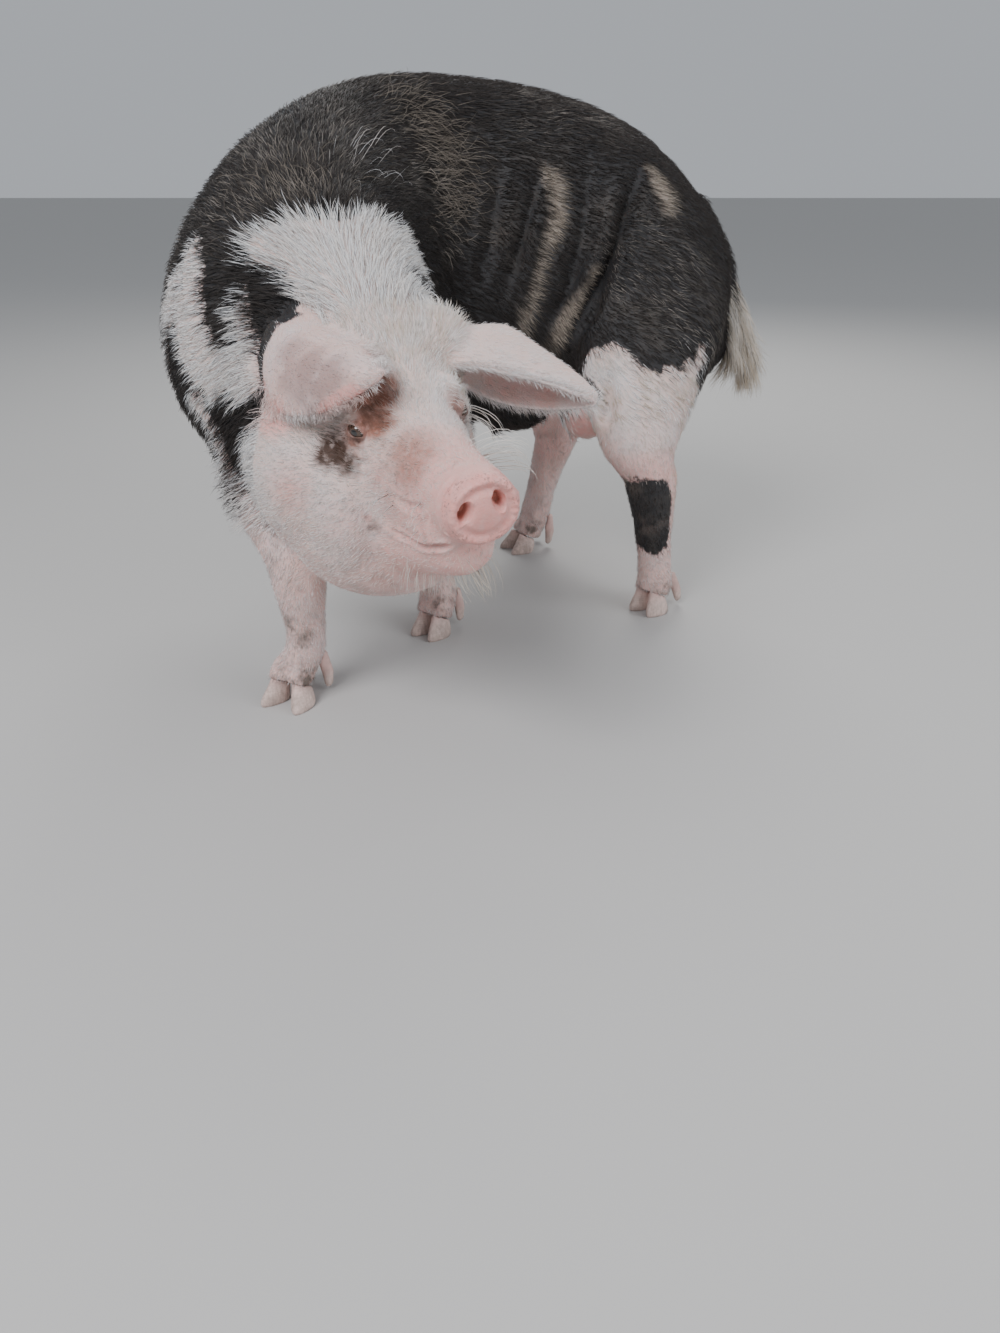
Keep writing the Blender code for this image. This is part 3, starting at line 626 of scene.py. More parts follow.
# markings: soft signed fields in metres, above zero inside; skin and coat read the same ones
paleAreas = {  # chains of places, each with its reach
    "crest": ((-0.291, -0.176, 0.655, 0.030), (-0.260, -0.175, 0.672, 0.032),
              (-0.215, -0.174, 0.678, 0.040), (-0.175, -0.169, 0.671, 0.042),
              (-0.133, -0.124, 0.668, 0.045), (-0.101, -0.039, 0.640, 0.045)),
    "neck": ((-0.196, -0.222, 0.634, 0.062), (-0.144, -0.232, 0.616, 0.075), (-0.095, -0.206, 0.600, 0.070),
             (-0.054, -0.133, 0.540, 0.060)),
    "shoulder": ((-0.406, -0.109, 0.645, 0.026), (-0.406, -0.135, 0.605, 0.027),
                 (-0.411, -0.147, 0.567, 0.032), (-0.399, -0.169, 0.531, 0.038),
                 (-0.369, -0.196, 0.502, 0.040), (-0.329, -0.224, 0.511, 0.040)),
    "wedge": ((-0.315, -0.182, 0.629, 0.002), (-0.319, -0.195, 0.606, 0.006),
              (-0.325, -0.201, 0.584, 0.011), (-0.322, -0.210, 0.562, 0.018),
              (-0.315, -0.224, 0.546, 0.022)),
    "outerShoulder": ((-0.434, -0.093, 0.600, 0.030), (-0.449, -0.053, 0.500, 0.040),
                      (-0.444, -0.033, 0.400, 0.050), (-0.404, -0.053, 0.300, 0.060)),
    "thigh": ((0.222, 0.122, 0.435, 0.052), (0.276, 0.087, 0.395, 0.055), (0.341, 0.117, 0.380, 0.055),
              (0.296, 0.087, 0.330, 0.090), (0.306, 0.127, 0.240, 0.110)),
    "stifle": ((0.191, 0.101, 0.462, 0.030), (0.208, 0.100, 0.479, 0.018)),
    "udder": ((0.190, 0.267, 0.300, 0.085), (0.056, 0.310, 0.270, 0.050), (-0.064, 0.290, 0.270, 0.040)),
    "outline": ((-0.412, -0.165, 0.458, 0.018), (-0.395, -0.185, 0.415, 0.017),
                (-0.374, -0.201, 0.371, 0.016), (-0.350, -0.223, 0.336, 0.020)),
    "groin": ((0.189, 0.092, 0.369, 0.035), (0.185, 0.190, 0.335, 0.045)),
}
darkAreas = {
    "lobeOne": ((-0.355, -0.157, 0.636, 0.021), (-0.357, -0.170, 0.609, 0.023),
                (-0.343, -0.187, 0.590, 0.017)),
    "lobeTwo": ((-0.301, -0.189, 0.630, 0.017), (-0.278, -0.213, 0.612, 0.025),
                (-0.256, -0.233, 0.598, 0.024), (-0.289, -0.225, 0.581, 0.019)),
    # painted shade: the underside of the belly, where the body's shadow falls, is marked dark
    "bellyShadow": ((-0.012, 0.222, 0.357, 0.045), (0.050, 0.215, 0.340, 0.035)),
    "elbow": ((-0.352, -0.214, 0.461, 0.020), (-0.351, -0.213, 0.415, 0.017),
              (-0.342, -0.217, 0.375, 0.010)),
}
tanAreas = {
    "streakOne": ((0.088, 0.209, 0.761, 0.004), (0.116, 0.193, 0.723, 0.013), (0.118, 0.181, 0.685, 0.012),
                  (0.100, 0.175, 0.641, 0.009), (0.085, 0.171, 0.579, 0.006), (0.069, 0.172, 0.531, 0.009),
                  (0.058, 0.176, 0.500, 0.004)),
    "streakTwo": ((0.182, 0.155, 0.601, 0.005), (0.162, 0.157, 0.563, 0.011), (0.138, 0.163, 0.526, 0.011),
                  (0.115, 0.177, 0.476, 0.006)),
    "hip": ((0.268, 0.223, 0.755, 0.005), (0.287, 0.208, 0.729, 0.017), (0.302, 0.190, 0.691, 0.010)),
}
roanAreas = {
    "shoulders": ((-0.330, -0.010, 0.777, 0.070), (-0.323, -0.097, 0.728, 0.070),
                  (-0.349, -0.121, 0.692, 0.050), (-0.404, -0.033, 0.640, 0.070),
                  (-0.424, 0.087, 0.560, 0.080)),
    "withers": ((-0.250, -0.075, 0.753, 0.060), (-0.181, 0.058, 0.803, 0.050),
                (-0.127, 0.094, 0.778, 0.060), (-0.071, 0.152, 0.735, 0.060),
                (-0.056, 0.148, 0.686, 0.050)),
    "loin": ((0.056, 0.267, 0.830, 0.050), (0.156, 0.287, 0.820, 0.050)),
    "thigh": ((0.286, 0.127, 0.600, 0.100), (0.346, 0.157, 0.500, 0.080)),
}

sockTops = {  # how far up each leg is pale
    "front_right": 0.315, "front_left": 0.36, "hind_left": 0.33, "hind_right": 0.40,
}
shinBand = {  # a dark band round the near hind shin
    "low": 0.132, "high": 0.272,
    "line": {"shin": ((0.276, 0.085, 0.272, 0.042), (0.286, 0.090, 0.200, 0.042),
                      (0.294, 0.095, 0.130, 0.040))},
}


def area(points, chains):
    # how far inside the nearest chain a place lies, below zero outside all of them
    best = np.full(len(points), -9.0)
    for chain in chains.values():
        rows = np.array(chain)
        for low, high in zip(rows[:-1], rows[1:]):
            run = high[:3] - low[:3]
            share = np.clip(((points - low[:3]) @ run) / (run @ run), 0.0, 1.0)
            gap = sizes(points - low[:3] - share[:, None] * run)
            best = np.maximum(best, low[3] + (high[3] - low[3]) * share - gap)
    return best


def paleField(points):
    local = toHead(points)
    level = points[:, 2]
    head = np.minimum(local[:, 0] + 0.150, 0.30 - np.abs(local[:, 1])) + 0.15 * np.minimum(local[:, 2], 0.0)
    throat = np.minimum(local[:, 0] + 0.20, -0.05 - local[:, 2])
    field = np.maximum(area(points, paleAreas), np.minimum(np.maximum(head, throat), 0.75 - level))
    for name, (x, y) in footLines.items():
        flat = np.hypot(points[:, 0] - x, points[:, 1] - y)
        field = np.maximum(field, np.minimum((sockTops[name] - level) * 0.8, 0.20 - flat))
    between = np.minimum(level - shinBand["low"], shinBand["high"] - level)
    band = np.minimum(area(points, shinBand["line"]), between)
    return np.minimum(field, -np.maximum(area(points, darkAreas), band))


# spots of colour in the head's frame: place, reach, how strong
stainAndShadowSpots = (  # tears and dirt below and above the eyes, and painted shadow of the right ear along its edge above the right eye
    ((-0.012, -0.092, -0.030), 0.027, 1.15), ((0.004, -0.086, -0.037), 0.020, 1.05),
    ((-0.023, -0.102, -0.034), 0.019, 1.0), ((0.014, -0.076, -0.008), 0.010, 0.9),
    ((0.012, 0.074, -0.004), 0.013, 0.8), ((0.002, 0.082, -0.022), 0.014, 0.7),
    ((0.018, -0.070, 0.003), 0.013, 0.85), ((0.018, 0.070, 0.003), 0.013, 0.85),
    ((0.000, -0.048, 0.044), 0.017, 0.5), ((-0.014, -0.038, 0.058), 0.014, 0.4),
    ((0.022, -0.053, 0.031), 0.017, 0.8), ((0.012, -0.030, 0.041), 0.015, 0.5),
    ((0.036, -0.044, 0.020), 0.013, 0.6), ((0.022, 0.060, 0.012), 0.010, 0.6),
    ((0.024, -0.060, 0.010), 0.009, 0.7), ((0.046, -0.072, -0.110), 0.010, 0.5),
    ((0.046, 0.072, -0.110), 0.010, 0.5),
)
rustSpots = (  # red-brown round the stains and on the bridge of the nose
    ((0.010, -0.044, 0.040), 0.034, 1.1), ((-0.004, -0.028, 0.050), 0.024, 0.9),
    ((0.028, -0.050, 0.016), 0.030, 1.1), ((0.008, -0.075, -0.009), 0.024, 0.9),
    ((-0.020, -0.030, 0.066), 0.022, 0.75), ((0.108, -0.040, 0.002), 0.044, 0.72),
    ((0.020, 0.060, 0.020), 0.020, 0.5), ((0.010, 0.076, -0.010), 0.018, 0.5),
    ((0.100, -0.044, -0.006), 0.020, 0.35),
)
rosyLines = (  # line, reach, how strong: a fold of the ear, skin behind it, inside the left ear, both lips
    (((0.000, -0.112, 0.030), (0.019, -0.088, 0.044), (0.034, -0.072, 0.056)), 0.014, 1.2),
    (((-0.155, -0.140, 0.012), (-0.120, -0.150, -0.010), (-0.085, -0.140, 0.000)), 0.026, 1.0),
    (((-0.092, 0.178, -0.014), (-0.065, 0.197, -0.025), (-0.030, 0.220, -0.029)), 0.024, 0.5),
    (((0.040, 0.080, -0.100), (0.092, 0.056, -0.107), (0.140, 0.048, -0.098), (0.205, 0.020, -0.078)),
     0.010, 0.8),
    (((0.040, -0.080, -0.100), (0.092, -0.056, -0.107), (0.140, -0.048, -0.098), (0.205, -0.020, -0.078)),
     0.010, 0.8),
)
blushSpots = (  # pink where the blood shows: cheeks, lips and jaw on both sides, bridge, above the eyes
    ((-0.041, -0.151, -0.081), 0.036, 0.8), ((0.062, -0.065, -0.144), 0.030, 0.9),
    ((0.020, -0.100, -0.115), 0.05, 0.5), ((-0.041, 0.151, -0.081), 0.036, 0.7),
    ((0.062, 0.065, -0.144), 0.030, 0.8), ((0.112, -0.033, 0.007), 0.020, 0.5),
    ((0.112, 0.033, 0.007), 0.020, 0.8), ((0.031, -0.062, 0.013), 0.014, 1.2),
    ((0.031, 0.062, 0.013), 0.014, 0.8), ((0.120, -0.060, -0.060), 0.046, 1.0),
    ((0.070, -0.074, -0.040), 0.040, 0.8), ((0.120, 0.060, -0.060), 0.040, 0.6),
)
bareSpots = (  # skin with hardly any hair
    ((-0.155, -0.140, 0.012), 0.020, 0.8), ((-0.120, -0.150, -0.010), 0.026, 0.8),
    ((-0.085, -0.140, 0.000), 0.020, 0.7), ((0.022, -0.052, 0.014), 0.015, 0.75),
    ((0.008, -0.040, 0.036), 0.016, 0.5), ((-0.012, -0.094, -0.032), 0.020, 0.6),
)
mudSpots = (  # in the body's frame, on the feet
    ((-0.298, -0.248, 0.142), 0.016, 1.2), ((-0.270, -0.252, 0.128), 0.015, 1.1),
    ((-0.288, -0.250, 0.112), 0.012, 0.9), ((-0.312, -0.250, 0.060), 0.016, 1.2),
    ((-0.280, -0.245, 0.052), 0.018, 1.2), ((-0.258, -0.225, 0.066), 0.014, 0.9),
    ((-0.085, 0.000, 0.055), 0.022, 0.9), ((0.330, 0.105, 0.050), 0.022, 1.0),
    ((0.100, 0.440, 0.052), 0.025, 1.0),
)
smokeSpots = (  # darker skin on the right ear, in the head's frame
    ((-0.040, -0.108, 0.069), 0.036, 1.0), ((-0.085, -0.111, 0.074), 0.028, 0.8),
    ((-0.001, -0.091, 0.071), 0.032, 1.0), ((-0.012, -0.105, 0.052), 0.027, 1.0),
    ((-0.069, -0.122, 0.050), 0.026, 0.85), ((-0.035, -0.115, 0.045), 0.024, 0.9),
)
udderSpots = (((0.178, 0.205, 0.335), 0.045, 1.0), ((0.200, 0.235, 0.350), 0.045, 1.0))  # bare, body's frame


def spotted(local, points, spots):
    # how strongly the spots colour each place, with ragged edges; local is points in the spots' frame
    found = np.zeros(len(points))
    ragged = (cloud(points, 0.012, 8) - 0.5) * 0.014 + (cloud(points, 0.005, 17) - 0.5) * 0.006
    for place, reach, much in spots:
        gap = sizes(local - np.array(place)) + ragged
        found = np.maximum(found, much * (1 - smooth(gap, reach * 0.35, reach * 1.35)))
    return found


def masksAt(points, shares):
    ragged = (cloud(points, 0.022, 1) - 0.5) * 0.020 + (cloud(points, 0.008, 2) - 0.5) * 0.010
    local = toHead(points)
    masks = {"paleField": paleField(points) + ragged}
    uneven = 0.75 + 0.25 * cloud(points, 0.018, 31)
    masks["tan"] = smooth(area(points, tanAreas) + ragged * 0.4, -0.008, 0.007) * uneven
    uneven = 0.25 + 0.75 * smooth(cloud(points, 0.028, 32), 0.35, 0.65)
    masks["roan"] = smooth(area(points, roanAreas) + ragged * 2, -0.04, 0.04) * uneven
    masks["nose"] = smooth(local[:, 0] + 0.25 * (cloud(points, 0.02, 6) - 0.5) * 0.1, 0.196, 0.212)
    blush = 0.90 * smooth(local[:, 0] - 0.25 * (local[:, 2] + 0.03), 0.01, 0.13)
    blush = blush * (np.abs(local[:, 1]) < 0.12)
    for line, reach, much in rosyLines:
        gap, _ = nearLine(local, line)
        blush = np.maximum(blush, much * (1 - smooth(gap + ragged * 0.4, reach * 0.5, reach * 1.3)))
    for place, reach, much in blushSpots:
        blush = np.maximum(blush, much * bell(sizes(local - place), reach))
    low = smooth(0.345 - points[:, 2], 0.0, 0.05) * (points[:, 1] > 0.06) * (points[:, 2] > 0.2)
    blush = np.maximum(blush, 0.7 * low)
    blush = np.maximum(blush, spotted(points, points, udderSpots))
    blush = np.maximum(blush, 0.45 * smooth(0.42 - points[:, 2], 0.0, 0.20))
    blush = np.maximum(blush, 0.30 * shares["earRight"] + 0.12 * shares["earLeft"])
    masks["blush"] = np.clip(blush, 0, 1.2)
    # stain: tear stains and dirt, and painted shadow of the right ear above the right eye
    masks["stainAndShadow"] = spotted(local, points, stainAndShadowSpots)
    masks["rust"] = spotted(local, points, rustSpots)
    smoke = np.clip(1.3 * shares["earRight"], 0, 1) * spotted(local, points, smokeSpots)
    masks["smoke"] = smoke * (1 - 0.6 * np.clip(blush, 0, 1))
    patches = smooth(cloud(points, 0.035, 9), 0.45, 0.75)
    grime = smooth(0.085 - points[:, 2], 0.0, 0.06) * (0.45 + 0.8 * patches)
    grime = grime + 0.8 * spotted(points, points, mudSpots)
    grime = grime + 0.3 * patches * smooth(0.5 - points[:, 2], 0, 0.3)
    masks["grime"] = np.clip(grime, 0, 1)
    return masks


def newGroup(name, inputs, outputs):
    group = bpy.data.node_groups.new(name, "ShaderNodeTree")
    for direction, sockets in (("INPUT", inputs), ("OUTPUT", outputs)):
        for label, kind in sockets:
            group.interface.new_socket(label, in_out=direction, socket_type="NodeSocket" + kind)
    return group, group.nodes.new("NodeGroupInput"), group.nodes.new("NodeGroupOutput")


def mathNode(tree, operation, a, b=None, clamp=False):
    node = tree.nodes.new("ShaderNodeMath")
    node.operation, node.use_clamp = operation, clamp
    for socket, value in zip(node.inputs, (a, b)):
        if value is None:
            continue
        if isinstance(value, (int, float)):
            socket.default_value = value
        else:
            tree.links.new(value, socket)
    return node.outputs[0]


def mixColour(tree, share, a, b, blend="MIX"):
    node = tree.nodes.new("ShaderNodeMix")
    node.data_type, node.blend_type = "RGBA", blend
    for socket, value in ((node.inputs[0], share), (node.inputs[6], a), (node.inputs[7], b)):
        if isinstance(value, (int, float)):
            socket.default_value = value
        elif isinstance(value, tuple):
            socket.default_value = (*value, 1.0)
        else:
            tree.links.new(value, socket)
    return node.outputs[2]


def noiseNode(tree, vector, scale, detail=3.0, rough=0.55):
    node = tree.nodes.new("ShaderNodeTexNoise")
    node.inputs["Scale"].default_value = scale
    node.inputs["Detail"].default_value = detail
    node.inputs["Roughness"].default_value = rough
    tree.links.new(vector, node.inputs["Vector"])
    return node.outputs["Fac"]


def rangeNode(tree, value, low, high, toLow=0.0, toHigh=1.0):
    node = tree.nodes.new("ShaderNodeMapRange")
    node.interpolation_type = "SMOOTHSTEP"
    for name, number in (("From Min", low), ("From Max", high), ("To Min", toLow), ("To Max", toHigh)):
        node.inputs[name].default_value = number
    tree.links.new(value, node.inputs["Value"])
    return node.outputs["Result"]


def attribute(tree, name):
    node = tree.nodes.new("ShaderNodeAttribute")
    node.attribute_type, node.attribute_name = "GEOMETRY", name
    return node.outputs["Fac"]


def scaled(tree, name, much, clamp=False):
    return mathNode(tree, "MULTIPLY", attribute(tree, name), much, clamp)


def makePores():
    # fine relief of hide: pores, hair roots and a crazed net of lines
    group, given, result = newGroup(
        "hideRelief", (("Vector", "Vector"), ("Pore Scale", "Float"), ("Line Scale", "Float")),
        (("Height", "Float"),)
    )
    pores = group.nodes.new("ShaderNodeTexVoronoi")
    lines = group.nodes.new("ShaderNodeTexVoronoi")
    lines.feature = "DISTANCE_TO_EDGE"
    for node, socket in ((pores, "Pore Scale"), (lines, "Line Scale")):
        group.links.new(given.outputs["Vector"], node.inputs["Vector"])
        group.links.new(given.outputs[socket], node.inputs["Scale"])
    dots = rangeNode(group, pores.outputs["Distance"], 0.05, 0.40)
    net = rangeNode(group, lines.outputs["Distance"], 0.0, 0.16)
    soft = noiseNode(group, given.outputs["Vector"], 160.0, 4.0, 0.6)
    total = mathNode(group, "MULTIPLY", dots, 0.35)
    for height, much in ((net, 0.35), (soft, 0.5)):
        total = mathNode(group, "ADD", total, mathNode(group, "MULTIPLY", height, much))
    group.links.new(total, result.inputs["Height"])
    return group


def makeDirt():
    # dry mud and dust in soft patches
    group, given, result = newGroup(
        "dustAndMud",
        (("Vector", "Vector"), ("Colour", "Color"), ("Dirt Colour", "Color"), ("Amount", "Float")),
        (("Colour", "Color"), ("Mask", "Float"))
    )
    patch = noiseNode(group, given.outputs["Vector"], 34.0, 6.0, 0.65)
    patch = rangeNode(group, patch, 0.38, 0.62)
    share = mathNode(group, "MULTIPLY", patch, given.outputs["Amount"], clamp=True)
    colour = mixColour(group, share, given.outputs["Colour"], given.outputs["Dirt Colour"])
    group.links.new(colour, result.inputs["Colour"])
    group.links.new(share, result.inputs["Mask"])
    return group


def makeMarkings():
    # the piebald pattern: how pale a place is, with a ragged edge, and the flecks of roan hair
    group, given, result = newGroup(
        "piebald", (("Field", "Float"), ("Jitter", "Float"), ("Roan", "Float")),
        (("Pale", "Float"), ("Fleck", "Float"))
    )
    jitter = given.outputs["Jitter"]
    shifted = mathNode(group, "MULTIPLY", mathNode(group, "SUBTRACT", jitter, 0.5), 0.016)
    pale = rangeNode(group, mathNode(group, "ADD", given.outputs["Field"], shifted), -0.004, 0.004)
    fleck = mathNode(group, "MULTIPLY", rangeNode(group, jitter, 0.58, 0.82), given.outputs["Roan"])
    group.links.new(pale, result.inputs["Pale"])
    group.links.new(fleck, result.inputs["Fleck"])
    return group


hideRelief, dustAndMud, piebald = makePores(), makeDirt(), makeMarkings()


def newMaterial(name, **values):
    material = bpy.data.materials.new(name)
    material.use_nodes = True
    shader = material.node_tree.nodes["Principled BSDF"]
    for label, value in values.items():
        shader.inputs[label.replace("_", " ")].default_value = value
    return material, material.node_tree, shader


def placed(tree, group, **values):
    node = tree.nodes.new("ShaderNodeGroup")
    node.node_tree = group
    for label, value in values.items():
        socket = node.inputs[label.replace("_", " ")]
        if isinstance(value, (int, float)):
            socket.default_value = value
        elif isinstance(value, tuple):
            socket.default_value = (*value, 1.0)
        else:
            tree.links.new(value, socket)
    return node


def bumped(tree, shader, height, strength, distance):
    bump = tree.nodes.new("ShaderNodeBump")
    bump.inputs["Strength"].default_value = strength
    bump.inputs["Distance"].default_value = distance
    tree.links.new(height, bump.inputs["Height"])
    tree.links.new(bump.outputs["Normal"], shader.inputs["Normal"])


hideColours = {
    "pale": (0.65, 0.50, 0.455), "paleCool": (0.62, 0.56, 0.545), "pink": (0.70, 0.37, 0.335),
    "dark": (0.020, 0.019, 0.020), "darkWarm": (0.050, 0.043, 0.038), "tan": (0.27, 0.225, 0.185),
    "fleck": (0.10, 0.088, 0.078), "nose": (0.72, 0.335, 0.30), "noseDeep": (0.47, 0.19, 0.145),
    "stainAndShadow": (0.060, 0.032, 0.022), "mud": (0.19, 0.15, 0.13), "rust": (0.30, 0.125, 0.085),
    # inside: painted light, a near-white for the down-facing side of the left ear, standing in for light
    # falling on it
    "smoke": (0.31, 0.20, 0.185), "noseRim": (0.36, 0.19, 0.17), "inside": (0.90, 0.77, 0.75),
}


def speckled(tree, name, fine, low, high, least):
    # a mask that fine noise breaks up, down to its least share
    share = rangeNode(tree, fine, low, high, least)
    return mathNode(tree, "MULTIPLY", attribute(tree, name), share, clamp=True)


def muddied(tree, place, colour):
    return placed(
        tree, dustAndMud, Vector=place, Colour=colour, Dirt_Colour=hideColours["mud"],
        Amount=attribute(tree, "grime")
    )


def makeHide():
    material, tree, shader = newMaterial(
        "hide", Subsurface_Weight=0.12, Subsurface_Scale=0.006, Specular_IOR_Level=0.35
    )
    shader.inputs["Subsurface Radius"].default_value = (1.0, 0.35, 0.22)
    place = tree.nodes.new("ShaderNodeTexCoord").outputs["Object"]
    marks = placed(
        tree, piebald, Field=attribute(tree, "paleField"), Jitter=noiseNode(tree, place, 150.0, 4.0, 0.6),
        Roan=attribute(tree, "roan")
    )
    broad = noiseNode(tree, place, 14.0, 5.0, 0.6)
    fine = noiseNode(tree, place, 90.0, 4.0, 0.6)
    pale = mixColour(tree, rangeNode(tree, broad, 0.35, 0.68), hideColours["pale"], hideColours["paleCool"])
    pale = mixColour(tree, speckled(tree, "blush", fine, 0.20, 0.62, 0.45), pale, hideColours["pink"])
    dark = mixColour(tree, rangeNode(tree, broad, 0.45, 0.72), hideColours["dark"], hideColours["darkWarm"])
    dark = mixColour(tree, marks.outputs["Fleck"], dark, hideColours["fleck"])
    dark = mixColour(tree, scaled(tree, "tan", 0.85), dark, hideColours["tan"])
    pale = mixColour(tree, attribute(tree, "smoke"), pale, hideColours["smoke"])
    # painted light: the down-facing side of the left ear is painted near-white, as if lit
    pale = mixColour(tree, attribute(tree, "inside"), pale, hideColours["inside"])
    colour = mixColour(tree, marks.outputs["Pale"], dark, pale)
    noseShare = attribute(tree, "nose")
    rosy = mixColour(tree, rangeNode(tree, fine, 0.40, 0.66), hideColours["nose"], hideColours["pink"])
    specks = attribute(tree, "rim")
    for size, detail, low, high in ((300.0, 3.0, 0.52, 0.64), (70.0, 2.0, 0.35, 0.60)):
        dots = rangeNode(tree, noiseNode(tree, place, size, detail), low, high)
        specks = mathNode(tree, "MULTIPLY", specks, dots)
    rosy = mixColour(tree, specks, rosy, hideColours["noseRim"])
    colour = mixColour(tree, noseShare, colour, rosy)
    colour = mixColour(tree, attribute(tree, "deep"), colour, hideColours["noseDeep"])
    # the stain mask is tear stains and dirt, plus painted shadow of the right ear above the right eye
    for name, least in (("rust", 0.6), ("stainAndShadow", 0.55)):
        colour = mixColour(tree, speckled(tree, name, fine, 0.25, 0.60, least), colour, hideColours[name])
    dirty = muddied(tree, place, colour)
    relief = placed(tree, hideRelief, Vector=place, Pore_Scale=330.0, Line_Scale=210.0)
    tree.links.new(dirty.outputs["Colour"], shader.inputs["Base Color"])
    rough = mathNode(tree, "SUBTRACT", 0.62, mathNode(tree, "MULTIPLY", noseShare, 0.22))
    rough = mathNode(tree, "ADD", rough, mathNode(tree, "MULTIPLY", dirty.outputs["Mask"], 0.25))
    tree.links.new(rough, shader.inputs["Roughness"])
    bumped(tree, shader, relief.outputs["Height"], 0.55, 0.0012)
    return material


def dressSkin():
    mesh = skin.data
    shares = partShares(mesh, edgesOf(mesh))
    points = coordsOf(mesh)
    masks = masksAt(points, shares)
    local = toHead(points)
    deep = np.zeros(len(points))
    for hand in (1, -1):
        middle, end = nostrils["dark"]
        gap = sizes((local - (middle, *nostrils["places"][hand])) * (0.6, 1.3, 1))
        deep = np.maximum(deep, (1 - smooth(gap, 0.008, 0.014)) * smooth(end - local[:, 0], 0.0, 0.008))
    masks["deep"] = np.clip(deep, 0, 1)
    across, up = acrossDisc(local)
    ring = np.hypot(across / disc["wide"], up / disc["tall"])
    masks["rim"] = masks["nose"] * smooth(ring, 0.55, 0.95)
    # painted light: a mask for the down-facing side of the left ear, which is painted near-white as if lit
    masks["inside"] = np.clip(1.2 * shares["earLeft"], 0, 1) * smooth(-normalsOf(mesh)[:, 2], -0.1, 0.3)
    for name, values in masks.items():
        writeMask(mesh, name, values)
    mesh.materials.clear()
    mesh.materials.append(makeHide())
    selectOnly(skin)
    bpy.ops.object.mode_set(mode="EDIT")
    bpy.ops.mesh.select_all(action="SELECT")
    bpy.ops.mesh.quads_convert_to_tris()
    bpy.ops.uv.smart_project(angle_limit=math.radians(66), island_margin=0.001)
    bpy.ops.object.mode_set(mode="OBJECT")
    mesh.uv_layers[0].name = "OFBake"
    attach(skin, "root")
    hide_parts(*fleshNodes)
    print("skin dressed")
    return shares


skinShares = dressSkin()

eyeValues = {"segments": 56, "rings": 36, "cornea": 0.0006, "gaze": (0.60, 0.80, 0.02)}
eyeColours = {
    "pupil": (0.002, 0.002, 0.002), "iris": (0.030, 0.014, 0.008), "streak": (0.085, 0.040, 0.018),
    "rings": ((0.70, 0.80, (0.012, 0.008, 0.007)), (0.84, 0.98, (0.42, 0.30, 0.25))),  # angles, colour
}


def makeEyeMaterial():
    # pupil, streaked iris, its dark ring and the white, by the angle from the gaze
    material, tree, shader = newMaterial(
        "eye", Roughness=0.06, Coat_Weight=1.0, Coat_Roughness=0.02, Specular_IOR_Level=0.6
    )
    place = tree.nodes.new("ShaderNodeTexCoord").outputs["Object"]
    angle = attribute(tree, "gaze")
    streaks = noiseNode(tree, place, 900.0, 3.0, 0.6)
    iris = mixColour(tree, streaks, eyeColours["iris"], eyeColours["streak"])
    colour = mixColour(tree, rangeNode(tree, angle, 0.30, 0.38), eyeColours["pupil"], iris)
    for low, high, ring in eyeColours["rings"]:
        colour = mixColour(tree, rangeNode(tree, angle, low, high), colour, ring)
    tree.links.new(colour, shader.inputs["Base Color"])
    return material


def makeEyes():
    material = makeEyeMaterial()
    for name, hand in (("eye_left", 1), ("eye_right", -1)):
        bpy.ops.mesh.primitive_uv_sphere_add(
            segments=eyeValues["segments"], ring_count=eyeValues["rings"], radius=eyePlace["radius"]
        )
        ball = bpy.context.object
        ball.name = ball.data.name = name + "_ball"
        points = coordsOf(ball.data)
        ahead, side, up = eyeValues["gaze"]
        gaze = unit(np.array((ahead, side * hand, up))) @ headRows
        angle = np.arccos(np.clip(unit(points) @ gaze, -1, 1))
        writeMask(ball.data, "gaze", angle)
        points += unit(points) * (eyeValues["cornea"] * bell(angle, 0.55))[:, None]
        setCoords(ball.data, points + eyeFrame(hand)[0])
        bpy.ops.object.shade_smooth()
        ball.data.materials.append(material)
        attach(ball, "root")
        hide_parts(name)
    print("eyes made")


makeEyes()

hoofValues = {
    "grain": 0.0016, "rounds": 9,
    "ring": 0.00035, "pitch": 0.0042,  # growth rings: height, spacing
    "sole": 0.0022, "floor": (0.001, 0.006), "crown": (0.020, 0.048),  # heights above the floor
}
hornColours = {"pale": (0.70, 0.545, 0.495), "dark": (0.54, 0.415, 0.365), "crown": (0.68, 0.46, 0.42)}


def makeHornMaterial():
    material, tree, shader = newMaterial("horn", Specular_IOR_Level=0.35)
    place = tree.nodes.new("ShaderNodeTexCoord").outputs["Object"]
    grain = tree.nodes.new("ShaderNodeMapping")
    grain.inputs["Scale"].default_value = (1.0, 1.0, 0.18)
    tree.links.new(place, grain.inputs["Vector"])
    streaks = noiseNode(tree, grain.outputs[0], 260.0, 4.0, 0.6)
    colour = mixColour(tree, rangeNode(tree, streaks, 0.35, 0.65), hornColours["pale"], hornColours["dark"])
    colour = mixColour(tree, attribute(tree, "crown"), colour, hornColours["crown"])
    dirty = muddied(tree, place, colour)
    tree.links.new(dirty.outputs["Colour"], shader.inputs["Base Color"])
    rough = mathNode(tree, "ADD", 0.50, mathNode(tree, "MULTIPLY", dirty.outputs["Mask"], 0.38))
    tree.links.new(rough, shader.inputs["Roughness"])
    bumped(tree, shader, streaks, 0.5, 0.0010)
    return material


